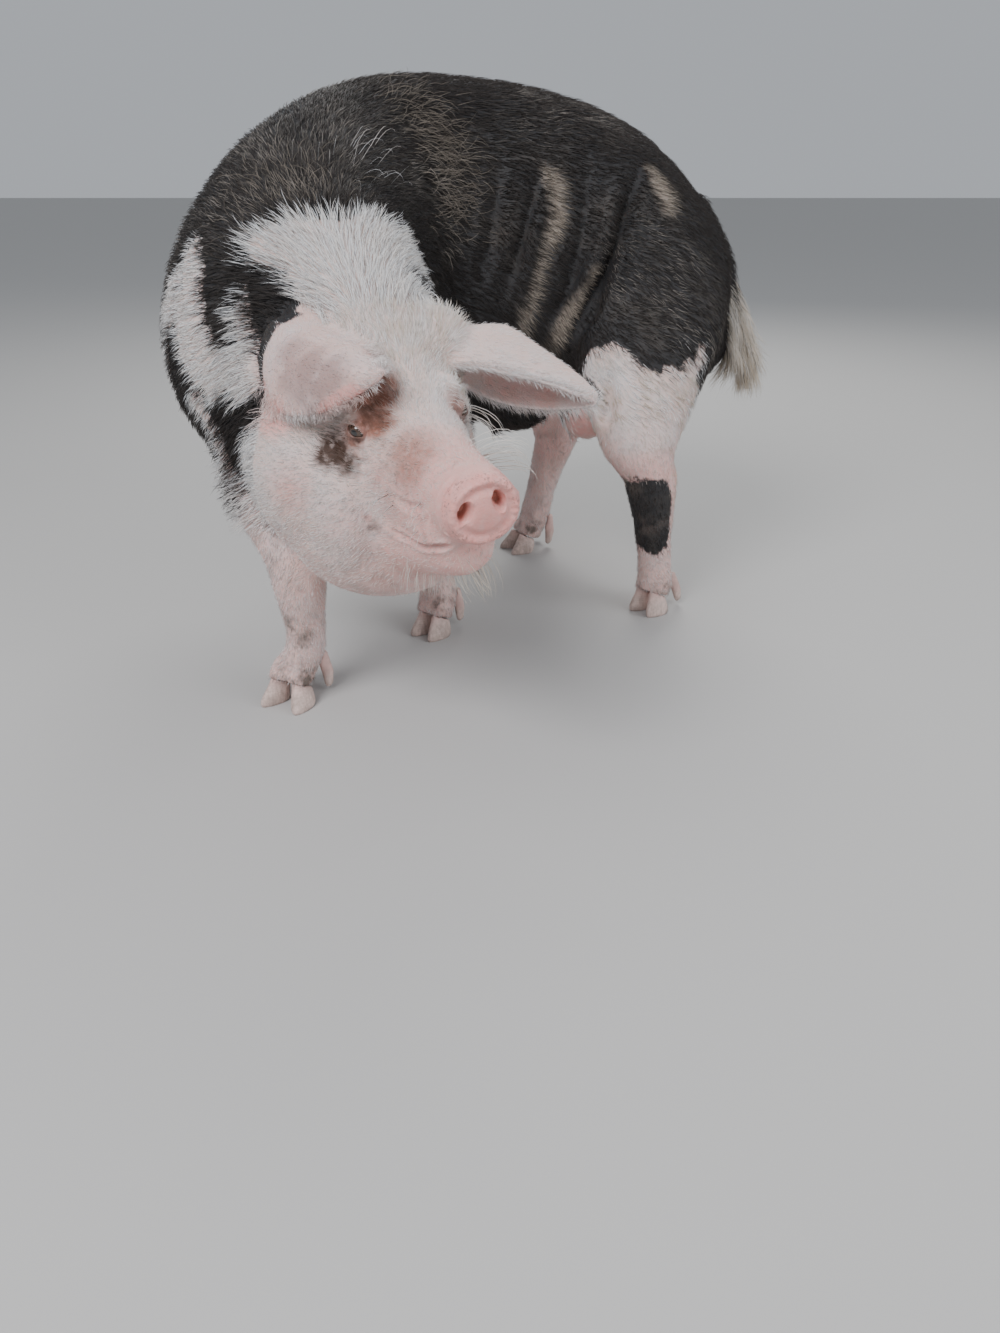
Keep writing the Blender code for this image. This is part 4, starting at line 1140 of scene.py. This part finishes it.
def makeHooves():
    hooves = joined([copyOf(name) for name in hoofNodes], "hooves")
    modified(hooves, "REMESH", mode="VOXEL", voxel_size=hoofValues["grain"])
    mesh = hooves.data
    edges, points = edgesOf(mesh), coordsOf(mesh)
    floorPart = 1 - smooth(points[:, 2], *hoofValues["floor"])
    calm = spread(edges, points, hoofValues["rounds"], 1 - 0.7 * floorPart)
    sole = points[:, 2] < hoofValues["sole"]
    calm[:, 2] = np.where(sole, np.minimum(points[:, 2], calm[:, 2]), calm[:, 2])
    for name in footLines:
        middle, _ = clawOutline(name)
        gap = calm[:, :2] - middle
        share = 1 - smooth(np.hypot(*gap.T), footValues["claws"], footValues["claws"] + 0.006)
        share *= footValues["drawn"] * smooth(calm[:, 2], footValues["low"], footValues["high"])
        calm[:, :2] -= gap * share[:, None]
    setCoords(mesh, calm)
    wave = np.sin(calm[:, 2] / hoofValues["pitch"] * 2 * math.pi + 3 * cloud(calm, 0.02, 12))
    calm += normalsOf(mesh) * (hoofValues["ring"] * wave * (1 - floorPart))[:, None]
    calm[:, 2] = np.maximum(calm[:, 2], 0.0)
    setCoords(mesh, calm)
    writeMask(mesh, "crown", smooth(calm[:, 2], *hoofValues["crown"]))
    writeMask(mesh, "grime", 0.50 - 0.25 * smooth(calm[:, 2], 0.0, 0.04))
    mesh.materials.clear()
    mesh.materials.append(makeHornMaterial())
    selectOnly(hooves)
    bpy.ops.object.shade_smooth()
    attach(hooves, "root")
    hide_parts(*hoofNodes)
    print("hooves", len(mesh.polygons))


makeHooves()


# coat: closed tapered bristles, rooted on the skin and lying as hair lies
coatValues = {
    "patch": 0.003,  # a bristle's share of the texture
    "sunk": 0.0012,  # depth of its root under the skin
    "tuft": 0.013,  # cells whose bristles lean together
    "most": 198000,  # triangles in a piece
    "thigh": (0.280, 0.090, 0.345), "reach": (0.15, 0.13, 0.17),  # where the near thigh's coat is worn
}
zoneCommon = {
    "rings": 2, "vary": 0.35, "clump": 0.45, "loose": 0.5, "bend": 0.10, "droop": 0.0, "slot": "dark_hide",
}
zoneValues = {  # bristles on each square metre, length and its spread, breadth, lift in degrees, clumping
    "shoulder": {"density": 62000, "long": 0.024, "wide": 0.00135, "lift": 13},
    "flankLeft": {"density": 62000, "long": 0.022, "wide": 0.00135, "lift": 12},
    "flankRight": {"density": 56000, "long": 0.024, "wide": 0.00140, "lift": 12},
    "rump": {"density": 62000, "long": 0.020, "wide": 0.00130, "lift": 12, "clump": 0.40},
    "neck": {"density": 66000, "long": 0.034, "wide": 0.00120, "lift": 21, "rings": 3, "clump": 0.50},
    "head": {"density": 62000, "long": 0.012, "vary": 0.45, "wide": 0.00085, "lift": 17},
    "legs": {"density": 60000, "long": 0.011, "vary": 0.30, "wide": 0.00090, "lift": 12, "clump": 0.30},
    "ears": {"density": 34000, "long": 0.008, "wide": 0.00075, "lift": 16, "clump": 0.25},
}
coatColours = {
    "pale": (0.80, 0.76, 0.725), "paleCool": (0.76, 0.775, 0.79), "dark": (0.014, 0.013, 0.014),
    "darkTip": (0.050, 0.040, 0.034), "tan": (0.43, 0.37, 0.305), "cream": (0.54, 0.43, 0.29),
    "fleck": (0.25, 0.225, 0.20), "rosy": (0.68, 0.45, 0.40), "stainAndShadow": (0.085, 0.045, 0.028),
    "rust": (0.33, 0.16, 0.11), "smoke": (0.37, 0.265, 0.25),
}
maskNames = ("paleField", "tan", "roan", "blush", "stainAndShadow", "rust", "smoke", "grime")


def makeCoatMaterial():
    material, tree, shader = newMaterial("coat", Roughness=0.55, Specular_IOR_Level=0.30)
    place = tree.nodes.new("ShaderNodeTexCoord").outputs["Object"]
    shade, along = attribute(tree, "shade"), attribute(tree, "along")
    marks = placed(
        tree, piebald, Field=attribute(tree, "paleField"), Jitter=shade, Roan=attribute(tree, "roan")
    )
    pale = mixColour(tree, rangeNode(tree, shade, 0.1, 0.9), coatColours["pale"], coatColours["paleCool"])
    pale = mixColour(tree, scaled(tree, "blush", 0.55, clamp=True), pale, coatColours["rosy"])
    pale = mixColour(tree, scaled(tree, "smoke", 0.90), pale, coatColours["smoke"])
    pale = mixColour(tree, attribute(tree, "cream"), pale, coatColours["cream"])
    dark = mixColour(tree, along, coatColours["dark"], coatColours["darkTip"])
    dark = mixColour(tree, marks.outputs["Fleck"], dark, coatColours["fleck"])
    streaked = mathNode(tree, "MULTIPLY", attribute(tree, "tan"), rangeNode(tree, shade, 0.05, 0.45, 0.35))
    dark = mixColour(tree, streaked, dark, coatColours["tan"])
    colour = mixColour(tree, marks.outputs["Pale"], dark, pale)
    colour = mixColour(tree, scaled(tree, "rust", 0.8), colour, coatColours["rust"])
    # stain: tear stains and dirt, plus painted shadow of the right ear above the right eye
    colour = mixColour(tree, attribute(tree, "stainAndShadow"), colour, coatColours["stainAndShadow"])
    dirty = muddied(tree, place, colour)
    tree.links.new(dirty.outputs["Colour"], shader.inputs["Base Color"])
    return material


def skinArrays():
    # places, normals, corners of the triangles, texture places, masks and areas of the dressed skin
    mesh = skin.data
    found = {
        "points": coordsOf(mesh), "normals": normalsOf(mesh),
        "corners": pulled(mesh.loops, "vertex_index", kind=np.int32).reshape(-1, 3),
        "uv": pulled(mesh.uv_layers["OFBake"].data, "uv", 2).reshape(-1, 3, 2),
    }
    for name in maskNames:
        found[name] = pulled(mesh.attributes[name].data, "value")
    a, b, c = (found["points"][found["corners"][:, k]] for k in range(3))
    found["area"] = 0.5 * sizes(np.cross(b - a, c - a))
    return found


hide = skinArrays()
coatMaterial = makeCoatMaterial()


# the ways that hair points, and the middles of the ears' roots in the head's frame
lies = {"head": (-1.0, 0.0, 0.10), "leg": (0.0, 0.0, -1.0), "tail": (0.25, 0.10, -1.0)}
earRoots = {"earLeft": (-0.125, 0.095, 0.040), "earRight": (-0.125, -0.078, 0.030)}


def lieOf(points, normals, shares):
    # the way hair points at each place, along the skin
    runs = np.diff(spineLine, axis=0)
    middles = (spineLine[1:] + spineLine[:-1]) / 2
    gaps = np.linalg.norm(points[:, None, :2] - middles[None], axis=2)
    weights = bell(gaps, 0.16) + 1e-9
    back = -unit(weights @ unit(runs))
    lie = np.zeros((len(points), 3))
    lie[:, :2] = back
    lie[:, 2] = -0.30 - 0.45 * smooth(0.72 - points[:, 2], 0.0, 0.25)
    local = toHead(points)
    headLie = np.array(lies["head"]) @ headRows + np.zeros((len(points), 3))
    headLie += np.outer(-0.55 * smooth(-local[:, 2], 0.0, 0.12), headRows[2])
    headLie += np.outer(0.45 * np.sign(local[:, 1]) * smooth(np.abs(local[:, 1]), 0.0, 0.06), headRows[1])
    legLie = np.array(lies["leg"]) + 0.25 * lie
    tailLie = np.array(lies["tail"]) + np.zeros((len(points), 3))
    headShare = np.clip(shares["head"] + shares["nose"], 0, 1)
    lie = lie + (headLie - lie) * headShare[:, None]
    lie = lie + (legLie - lie) * np.clip(shares["leg"], 0, 1)[:, None]
    lie = lie + (tailLie - lie) * np.clip(shares["tail"], 0, 1)[:, None]
    for name, root in earRoots.items():
        out = unit(points - fromHead(root))
        lie = lie + (out - lie) * np.clip(shares[name] * 1.3, 0, 1)[:, None]
    lie -= normals * (lie * normals).sum(axis=1, keepdims=True)
    return unit(lie)


def sample(weights, seed):
    # roots on the skin, as many on each face as weights says on average
    rng = np.random.default_rng(seed)
    total = np.cumsum(weights)
    count = int(total[-1])
    picks = np.searchsorted(total, (np.arange(count) + rng.random(count)) * total[-1] / count)
    picks = np.minimum(picks, len(weights) - 1)
    a, b = rng.random(count), rng.random(count)
    turned = a + b > 1
    a[turned], b[turned] = 1 - a[turned], 1 - b[turned]
    bary = np.stack((1 - a - b, a, b), axis=1)
    corners = hide["corners"][picks]
    roots = {"uv": (hide["uv"][picks] * bary[:, :, None]).sum(axis=1), "rng": rng}
    for name in ("points", "normals", "lie"):
        roots[name] = (hide[name][corners] * bary[:, :, None]).sum(axis=1)
    roots["normals"], roots["lie"] = unit(roots["normals"]), unit(roots["lie"])
    for name in maskNames + ("length",):
        roots[name] = (hide[name][corners] * bary).sum(axis=1)
    return roots


def leaning(roots, tips, clump):
    # how far each tip is drawn along the skin to the middle of its tuft
    normals = roots["normals"]
    cells = np.floor(roots["points"] / coatValues["tuft"] + cloud(roots["points"], 0.02, 22)[:, None] * 1.5)
    _, group = np.unique(cells.astype(np.int64) @ np.array((1, 4099, 16777259)), return_inverse=True)
    group = group.ravel()
    members = np.bincount(group)
    centre = np.stack([np.bincount(group, tips[:, k]) / members for k in range(3)], axis=1)[group]
    pull = (centre - tips) * clump
    return pull - normals * (pull * normals).sum(axis=1, keepdims=True)


def bristlePlaces(roots, values, long, lift):
    # the places of every bristle: rings of three from the root on, then the tip
    rng, count, rings, sunk = roots["rng"], len(roots["points"]), values["rings"], coatValues["sunk"]
    normals, lie = roots["normals"], roots["lie"]
    side = np.cross(normals, lie)
    turn = np.radians(rng.normal(0, 11, count) + 26 * (cloud(roots["points"], 0.045, 21) - 0.5))
    lie = lie * np.cos(turn)[:, None] + side * np.sin(turn)[:, None]
    side = unit(np.cross(normals, lie))
    long = long * (1 + values["vary"] * rng.uniform(-1, 1, count))
    lift = np.radians(lift * rng.uniform(1 - values["loose"], 1 + values["loose"], count))
    bend = rng.normal(0, values["bend"], count)
    base = roots["points"] - normals * sunk
    high = long * np.sin(lift)
    tips = base + lie * (long * np.cos(lift))[:, None] + normals * (high + sunk)[:, None]
    pull = leaning(roots, tips, values["clump"])
    breadth = values["wide"] * rng.uniform(0.8, 1.25, count)
    places = []
    for k in range(rings + 1):
        s = k / rings
        rise = high * (s * (1.55 - 0.55 * s)) * (0.72 + 0.28 * (1 - s)) + sunk * min(1.0, 2 * s)
        middle = base + lie * (long * s * np.cos(lift))[:, None] + normals * rise[:, None]
        middle += side * (long * bend * s * s)[:, None] + pull * s**1.5
        middle[:, 2] -= values["droop"] * long * s * s
        if k == rings:
            places.append(middle)
            break
        half = 0.5 * breadth * (1 - s) ** 0.55
        for corner in range(3):
            angle = 2 * math.pi * corner / 3 + math.pi / 2
            across = side * (half * math.cos(angle))[:, None]
            places.append(middle + across + normals * (half * math.sin(angle) * 0.75)[:, None])
    return np.stack(places, axis=1)


def bristleFaces(rings):
    # the triangles of one bristle, and where their corners lie on its patch of the texture
    triangles, layout = [(0, 2, 1)], [((0.0, 0.0), (1.0, 0.0), (0.5, 0.12))]
    for k in range(rings):
        low, high = 0.12 + 0.88 * k / rings, 0.12 + 0.88 * (k + 1) / rings
        for corner in range(3):
            a, b = 3 * k + corner, 3 * k + (corner + 1) % 3
            left, right = corner / 3, (corner + 1) / 3
            if k == rings - 1:
                triangles.append((a, b, 3 * rings))
                layout.append(((left, low), (right, low), ((left + right) / 2, high)))
            else:
                triangles += [(a, b, b + 3), (a, b + 3, a + 3)]
                layout.append(((left, low), (right, low), (right, high)))
                layout.append(((left, low), (right, high), (left, high)))
    return np.array(triangles), (np.array(layout) - 0.5) * coatValues["patch"]


def grow(name, roots, values, long, lift):
    # one mesh of closed tapered bristles with the markings of their roots
    rings = values["rings"]
    places = bristlePlaces(roots, values, long, lift)
    count, each = places.shape[:2]
    triangles, layout = bristleFaces(rings)
    corners = (triangles[None] + (np.arange(count) * each)[:, None, None]).astype(np.int32)
    uv = (roots["uv"][:, None, None] + layout[None]).astype(np.float32)
    mesh = bpy.data.meshes.new(name)
    mesh.vertices.add(count * each)
    mesh.vertices.foreach_set("co", places.astype(np.float32).ravel())
    mesh.loops.add(corners.size)
    mesh.loops.foreach_set("vertex_index", corners.ravel())
    mesh.polygons.add(corners.size // 3)
    mesh.polygons.foreach_set("loop_start", np.arange(0, corners.size, 3, dtype=np.int32))
    mesh.polygons.foreach_set("use_smooth", np.ones(corners.size // 3, bool))
    mesh.update(calc_edges=True)
    layer = mesh.uv_layers.new(name="OFBake")
    layer.data.foreach_set("uv", uv.ravel())
    for mask in maskNames + ("cream",):
        writeMask(mesh, mask, np.repeat(roots.get(mask, np.zeros(count)), each))
    writeMask(mesh, "shade", np.repeat(roots["rng"].random(count), each))
    writeMask(mesh, "along", np.tile(np.append(np.repeat(np.arange(rings) / rings, 3), 1.0), count))
    mesh.materials.append(coatMaterial)
    piece = bpy.data.objects.new(name, mesh)
    bpy.context.scene.collection.objects.link(piece)
    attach(piece, "root")
    print("   coat", name, count, "bristles", corners.size // 3, "triangles")
    return corners.size // 3


def coatZones():
    # which places of the skin belong to each coat piece
    points, shares = hide["points"], skinShares
    gaps = np.linalg.norm(points[:, None, :2] - spineLine[None], axis=2)
    nearest = gaps.argmin(axis=1)
    run = np.gradient(spineLine, axis=0)[nearest]
    away = points[:, :2] - spineLine[nearest]
    left = (run[:, 0] * away[:, 1] - run[:, 1] * away[:, 0]) < 0
    ear = shares["ear"] > 0.5
    tail = ~ear & (shares["tail"] > 0.5)
    head = ~ear & ~tail & ((shares["head"] + shares["nose"]) > 0.5)
    leg = ~ear & ~tail & ~head & (shares["leg"] > 0.5)
    crest = {name: paleAreas[name] for name in ("crest", "neck")}
    maned = (area(points, crest) > -0.02) & (nearest > 7)
    neck = ~(ear | tail | head | leg) & ((shares["neck"] > 0.5) | maned)
    rest = ~(ear | tail | head | leg | neck)
    rump = rest & (nearest <= 2)
    shoulder = rest & ~rump & (nearest >= 7)
    flank = rest & ~rump & ~shoulder
    return {
        "ears": ear, "tail": tail, "head": head, "legs": leg, "neck": neck, "rump": rump,
        "shoulder": shoulder, "flankLeft": flank & left, "flankRight": flank & ~left,
    }


def wornAt(points):
    # how worn and yellow the coat of the near thigh is
    gap = sizes((points - coatValues["thigh"]) / coatValues["reach"])
    return 1 - smooth(gap, 0.6, 1.2)


def coatLengths(points, local, toEye, under):
    head = skinShares["head"]
    lengths = np.ones(len(points))
    forehead = head * smooth(0.03 - local[:, 0], 0, 0.08) * smooth(local[:, 2], -0.04, 0.04)
    lengths *= 1 + 1.3 * forehead * (0.6 + 0.8 * cloud(points, 0.014, 33))
    lengths *= 1 - 0.45 * (1 - smooth(toEye, 0.022, 0.040))
    lengths *= 1 - 0.50 * head * smooth(local[:, 0], 0.03, 0.14)
    return lengths * (1 - 0.35 * under)


def creamOf(name, roots):
    # yellow tint: tufts on the forehead, the worn thigh
    places = roots["points"]
    if name == "head":
        local = toHead(places)
        brow = smooth(0.05 - local[:, 0], 0, 0.08) * smooth(local[:, 2], -0.05, 0.03)
        tufted = 0.15 + 0.65 * brow * smooth(cloud(places, 0.016, 34), 0.25, 0.75)
        return tufted * roots["rng"].uniform(0.2, 1.0, len(places))
    yellow = wornAt(places) * smooth(cloud(places, 0.020, 35), 0.25, 0.70)
    return 0.95 * yellow * roots["rng"].uniform(0.2, 1.0, len(places))


def makeCoat():
    points = hide["points"]
    hide["lie"] = lieOf(points, hide["normals"], skinShares)
    local = toHead(points)
    toEye = eyeGap(local, 0.005)
    bare = np.maximum(1 - smooth(toEye, 0.016, 0.024), smooth(local[:, 0], 0.178, 0.200))
    bare = np.maximum(bare, spotted(local, points, bareSpots))
    bare = np.maximum(bare, spotted(points, points, udderSpots))
    under = smooth(-hide["normals"][:, 2], 0.3, 0.8) * (points[:, 2] > 0.2) * (points[:, 2] < 0.42)
    under = under * (hide["paleField"] > 0)
    nearFloor = 1 - smooth(points[:, 2], 0.030, 0.044)
    worn = wornAt(points)
    hide["length"] = coatLengths(points, local, toEye, under)
    total = 0
    for order, (name, zone) in enumerate(coatZones().items()):
        if name == "tail":
            continue
        values = {**zoneCommon, **zoneValues[name]}
        density = zone * values["density"] * (1 - bare) * (1 - 0.75 * under)
        density = density * (1 - nearFloor) * (1 - 0.45 * worn)
        weights = hide["area"] * density[hide["corners"]].mean(axis=1)
        most = coatValues["most"] // (6 * values["rings"] - 2)
        if weights.sum() > most:
            print("   thinner", name, round(weights.sum() / most, 2))
            weights *= most / weights.sum()
        roots = sample(weights, 100 + order)
        if name in ("head", "legs", "rump", "flankLeft"):
            roots["cream"] = creamOf(name, roots)
        total += grow("coat_" + name, roots, values, values["long"] * roots["length"], values["lift"])
    print("coat triangles", total)


makeCoat()

strandValues = {
    "vary": 0.25, "rings": 5, "clump": 0.0, "loose": 0.15, "bend": 0.14, "wide": 0.00060, "slot": "pale_hide",
}
strands = {  # rows in the head's frame: place, reach, how many, length, way they point, cream
    "brows": {"droop": 0.35, "rows": (
        ((0.010, 0.058, 0.032), 0.010, 26, 0.019, (0.70, 0.60, 0.10), 0.0),
        ((0.008, -0.060, 0.032), 0.010, 12, 0.014, (0.60, -0.70, 0.20), 0.2),
    )},
    "whiskers": {"wide": 0.00120, "droop": 0.20, "rows": (
        ((0.140, 0.036, 0.000), 0.014, 16, 0.070, (0.30, 0.90, 0.35), 0.30),
        ((0.120, 0.044, -0.020), 0.016, 14, 0.078, (0.45, 0.90, 0.05), 0.35),
        ((-0.004, 0.082, -0.014), 0.012, 12, 0.060, (0.55, 0.80, -0.35), 0.25),
        ((0.074, -0.062, -0.050), 0.020, 14, 0.040, (0.30, -0.95, 0.0), 0.15),
        ((0.150, 0.046, -0.055), 0.020, 12, 0.022, (0.55, 0.80, -0.15), 0.10),
        ((0.150, -0.046, -0.055), 0.020, 12, 0.022, (0.55, -0.80, -0.15), 0.10),
    )},
    "chin": {"droop": 0.25, "rows": (
        ((0.165, 0.008, -0.128), 0.022, 70, 0.040, (0.55, 0.25, -0.80), 0.65),
        ((0.090, 0.030, -0.165), 0.030, 46, 0.036, (0.20, 0.20, -0.95), 0.5),
        ((0.090, -0.030, -0.165), 0.030, 46, 0.034, (0.20, -0.25, -0.95), 0.35),
    )},
}
curled = {"clump": 0.85, "bend": 0.55, "rings": 4, "slot": "dark_hide"}
bodyStrands = {  # the same in the body's frame; without a way they lie as the coat does
    "bristles": {"droop": 0.30, "rows": (
        ((-0.178, 0.018, 0.777), 0.030, 8, 0.062, (0.55, -0.10, 0.75), 0.05),
        ((-0.161, 0.000, 0.750), 0.035, 9, 0.058, (0.70, -0.30, 0.45), 0.05),
        ((-0.213, -0.046, 0.758), 0.035, 8, 0.050, (0.20, -0.40, 0.85), 0.05),
    )},
    "curls": {"wide": 0.00110, "droop": 0.0, **curled, "rows": (
        ((-0.110, 0.188, 0.833), 0.050, 200, 0.030, None, 0.0),
        ((-0.071, 0.180, 0.780), 0.045, 230, 0.032, None, 0.0),
        ((-0.055, 0.150, 0.715), 0.045, 200, 0.030, None, 0.0),
        ((-0.260, -0.110, 0.740), 0.060, 200, 0.028, None, 0.0),
    )},
}


def aimed(roots, way):
    # the lie and the lift that point a bristle the given way
    way = unit(np.asarray(way) + np.zeros((len(roots["points"]), 3)))
    rise = np.clip((way * roots["normals"]).sum(axis=1), 0.12, 0.99)
    roots["lie"] = unit(way - roots["normals"] * (way * roots["normals"]).sum(axis=1, keepdims=True))
    return np.degrees(np.arcsin(rise))


def gathered(groups):
    # one set of roots out of several, with the first one's random draws
    whole = {}
    for name in groups[0]:
        whole[name] = groups[0]["rng"] if name == "rng" else np.concatenate([group[name] for group in groups])
    return whole


def sampleCount(shares, count, seed):
    # so many roots, spread on the skin as the shares say
    weights = hide["area"] * shares[hide["corners"]].mean(axis=1)
    return sample(weights * (count + 0.5) / weights.sum(), seed)


def makeStrands():
    for order, (name, values) in enumerate({**strands, **bodyStrands}.items()):
        found = []
        for k, (place, reach, count, long, way, cream) in enumerate(values["rows"]):
            middle = fromHead(place) if name in strands else np.array(place)
            near = bell(sizes(hide["points"] - middle), reach)
            roots = sampleCount(near, count, 300 + 10 * order + k)
            size = len(roots["points"])
            for mask in ("stainAndShadow", "rust", "smoke", "blush", "grime"):
                roots[mask] = np.zeros(size)
            if way is None:
                roots["lift"] = np.full(size, 24.0)
                roots["paleField"], roots["tan"] = np.full(size, -0.05), np.full(size, 0.45)
            else:
                roots["lift"] = aimed(roots, np.array(way) @ headRows if name in strands else way)
                roots["paleField"] = np.full(size, 0.05)
            roots["cream"], roots["long"] = np.full(size, cream), np.full(size, long)
            found.append(roots)
        whole = gathered(found)
        grow("coat_" + name, whole, {**strandValues, **values}, whole["long"], whole["lift"])


lashes = {"count": 20, "half": 0.0118, "rise": 0.0080, "long": 0.011, "wide": 0.0005, "droop": 0.20}


def makeLashes():
    # a row along each upper lid
    found = []
    tree = treeOf(hide["points"])
    corner = np.zeros(len(hide["points"]), np.int64)
    corner[hide["corners"].ravel()] = np.arange(hide["corners"].size)
    for hand in (1, -1):
        centre, out, slit, rise = eyeFrame(hand)
        rng = np.random.default_rng(400 + hand)
        run = np.linspace(-0.92, 0.92, lashes["count"]) * lashes["half"]
        up = lashes["rise"] * np.clip(1 - (run / lashes["half"]) ** 2, 0, 1) ** 0.75
        up += rng.uniform(0, 0.0016, len(run))
        deep = np.sqrt((eyePlace["radius"] + 0.0017) ** 2 - run**2 - up**2)
        places = centre + out * deep[:, None] + slit * run[:, None] + rise * up[:, None]
        nearest = np.array([tree.find(place)[1] for place in places])
        roots = {"points": hide["points"][nearest], "normals": np.tile(out, (len(run), 1)), "rng": rng}
        roots["uv"] = hide["uv"].reshape(-1, 2)[corner[nearest]]
        for mask in maskNames:
            roots[mask] = np.zeros(len(run))
        roots["paleField"], roots["cream"] = np.full(len(run), 0.05), np.full(len(run), 0.25)
        roots["lift"] = aimed(roots, out + rise * 0.55 + slit * (run / lashes["half"] * 0.5)[:, None])
        found.append(roots)
    whole = gathered(found)
    long = np.full(len(whole["uv"]), lashes["long"])
    grow("coat_lashes", whole, {**strandValues, **lashes}, long, whole["lift"])


earEdges = {  # base, bend and tip of the front and of the back edge, before bodyMoved and bodyScale
    "earLeft": (((-0.072, 1.378, 0.560), (0.020, 1.362, 0.562), (0.144, 1.378, 0.506)),
                ((-0.094, 1.462, 0.540), (0.010, 1.500, 0.450), (0.144, 1.378, 0.506))),
    "earRight": (((-0.215, 1.430, 0.595), (-0.174, 1.340, 0.593), (-0.138, 1.220, 0.578)),
                 ((-0.340, 1.410, 0.528), (-0.288, 1.238, 0.472), (-0.138, 1.220, 0.578))),
}
fringe = {"count": 1500, "long": 0.017, "rings": 3, "vary": 0.4, "clump": 0.35, "wide": 0.0007, "droop": 0.10}


def edgeLine(points):
    a, b, c = (np.array(p) for p in points)
    t = np.linspace(0, 0.97, 12)[:, None]
    return (a * (1 - t) ** 2 + 2 * b * t * (1 - t) + c * t * t + bodyMoved) * bodyScale


def makeEarFringe():
    found = []
    for k, (name, lines) in enumerate(earEdges.items()):
        rim = np.zeros(len(hide["points"]))
        for line in lines:
            gap, _ = nearLine(hide["points"], edgeLine(line))
            rim = np.maximum(rim, bell(gap, 0.010))
        roots = sampleCount(rim * skinShares[name], fringe["count"], 500 + k)
        middle = np.mean([edgeLine(line) for line in lines], axis=0)
        gap = np.linalg.norm(roots["points"][:, None] - middle[None], axis=2).argmin(axis=1)
        away = unit(roots["points"] - middle[gap])
        run = unit(np.gradient(middle, axis=0))[gap]
        roots["lift"] = aimed(roots, away * 0.8 + run * 0.7 + roots["normals"] * 0.2)
        roots["cream"] = np.zeros(len(gap))
        found.append(roots)
    whole = gathered(found)
    long = np.full(len(whole["uv"]), fringe["long"])
    grow("coat_ear_fringe", whole, {**strandValues, **fringe}, long, np.minimum(whole["lift"], 40))


tailHair = {
    "count": 3600, "rings": 4, "vary": 0.4, "clump": 0.45, "wide": 0.0009, "droop": 0.0, "slot": "tail_hair",
}


def makeTailHair():
    gap, along = nearLine(hide["points"], tailLine)
    share = skinShares["tail"] * (0.25 + smooth(along, 0.30, 0.60))
    roots = sampleCount(share * (gap < 0.04), tailHair["count"], 600)
    _, spot = nearLine(roots["points"], tailLine)
    run = unit(np.gradient(tailLine, axis=0))
    rng = roots["rng"]
    roots["lift"] = np.minimum(aimed(roots, alongTail(run, spot) + roots["normals"] * 0.28), 28)
    light = rng.random(len(spot)) < smooth(spot, 0.26, 0.50) * 0.94
    roots["paleField"] = np.where(light, 0.05, -0.05)
    roots["cream"] = light * rng.uniform(0.25, 1.0, len(spot)) * (0.3 + 0.9 * spot)
    for mask in ("roan", "tan", "stainAndShadow", "grime"):
        roots[mask] = np.zeros(len(spot))
    room = np.clip((1.02 - spot) * 0.33, 0.012, 0.075)
    long = np.minimum(0.016 + 0.052 * smooth(spot, 0.30, 0.60), room)
    grow("coat_tail", roots, {**strandValues, **tailHair}, long, roots["lift"])


makeStrands()
makeLashes()
makeEarFringe()
makeTailHair()


stageValues = {
    "floor": 40.0, "floorColour": (0.47, 0.465, 0.455), "world": (0.80, 0.84, 0.90), "worldStrength": 0.55,
}
lamps = {  # place, aim, size, power, colour
    "key": ((-1.6, -2.6, 3.0), (0.0, -0.1, 0.4), 2.2, 150.0, (0.99, 0.98, 1.0)),
    "fill": ((2.8, -1.6, 1.8), (0.0, 0.0, 0.4), 2.6, 58.0, (0.95, 0.97, 1.0)),
    "back": ((0.6, 2.8, 2.6), (0.0, 0.1, 0.5), 2.0, 60.0, (1.0, 0.98, 0.95)),
}


def makeStage():
    bpy.ops.mesh.primitive_plane_add(size=stageValues["floor"])
    floor = bpy.context.object
    floor.name = "floor"
    material, _, shader = newMaterial("floor", Roughness=0.75)
    shader.inputs["Base Color"].default_value = (*stageValues["floorColour"], 1.0)
    floor.data.materials.append(material)
    world = bpy.data.worlds.new("soft")
    world.use_nodes = True
    back = world.node_tree.nodes["Background"]
    back.inputs["Color"].default_value = (*stageValues["world"], 1.0)
    back.inputs["Strength"].default_value = stageValues["worldStrength"]
    bpy.context.scene.world = world
    for name, (place, aim, size, power, colour) in lamps.items():
        light = bpy.data.lights.new(name, "AREA")
        light.shape, light.size, light.energy, light.color = "DISK", size, power, colour
        lamp = bpy.data.objects.new(name, light)
        lamp.location = place
        lamp.rotation_euler = (Vector(aim) - Vector(place)).to_track_quat("-Z", "Y").to_euler()
        bpy.context.scene.collection.objects.link(lamp)


cameraValues = {"place": (0.0243, -1.5624, 0.7708), "tilt": 62, "film": 36.0, "lens": 26.0}


def makeCamera():
    camera = bpy.data.cameras.new("camera")
    camera.sensor_fit = "VERTICAL"
    camera.sensor_height, camera.lens = cameraValues["film"], cameraValues["lens"]
    holder = bpy.data.objects.new("camera", camera)
    holder.location = cameraValues["place"]
    holder.rotation_euler = (math.radians(cameraValues["tilt"]), 0, 0)
    bpy.context.scene.collection.objects.link(holder)
    bpy.context.scene.camera = holder
    print("stage and camera set")


makeStage()
makeCamera()
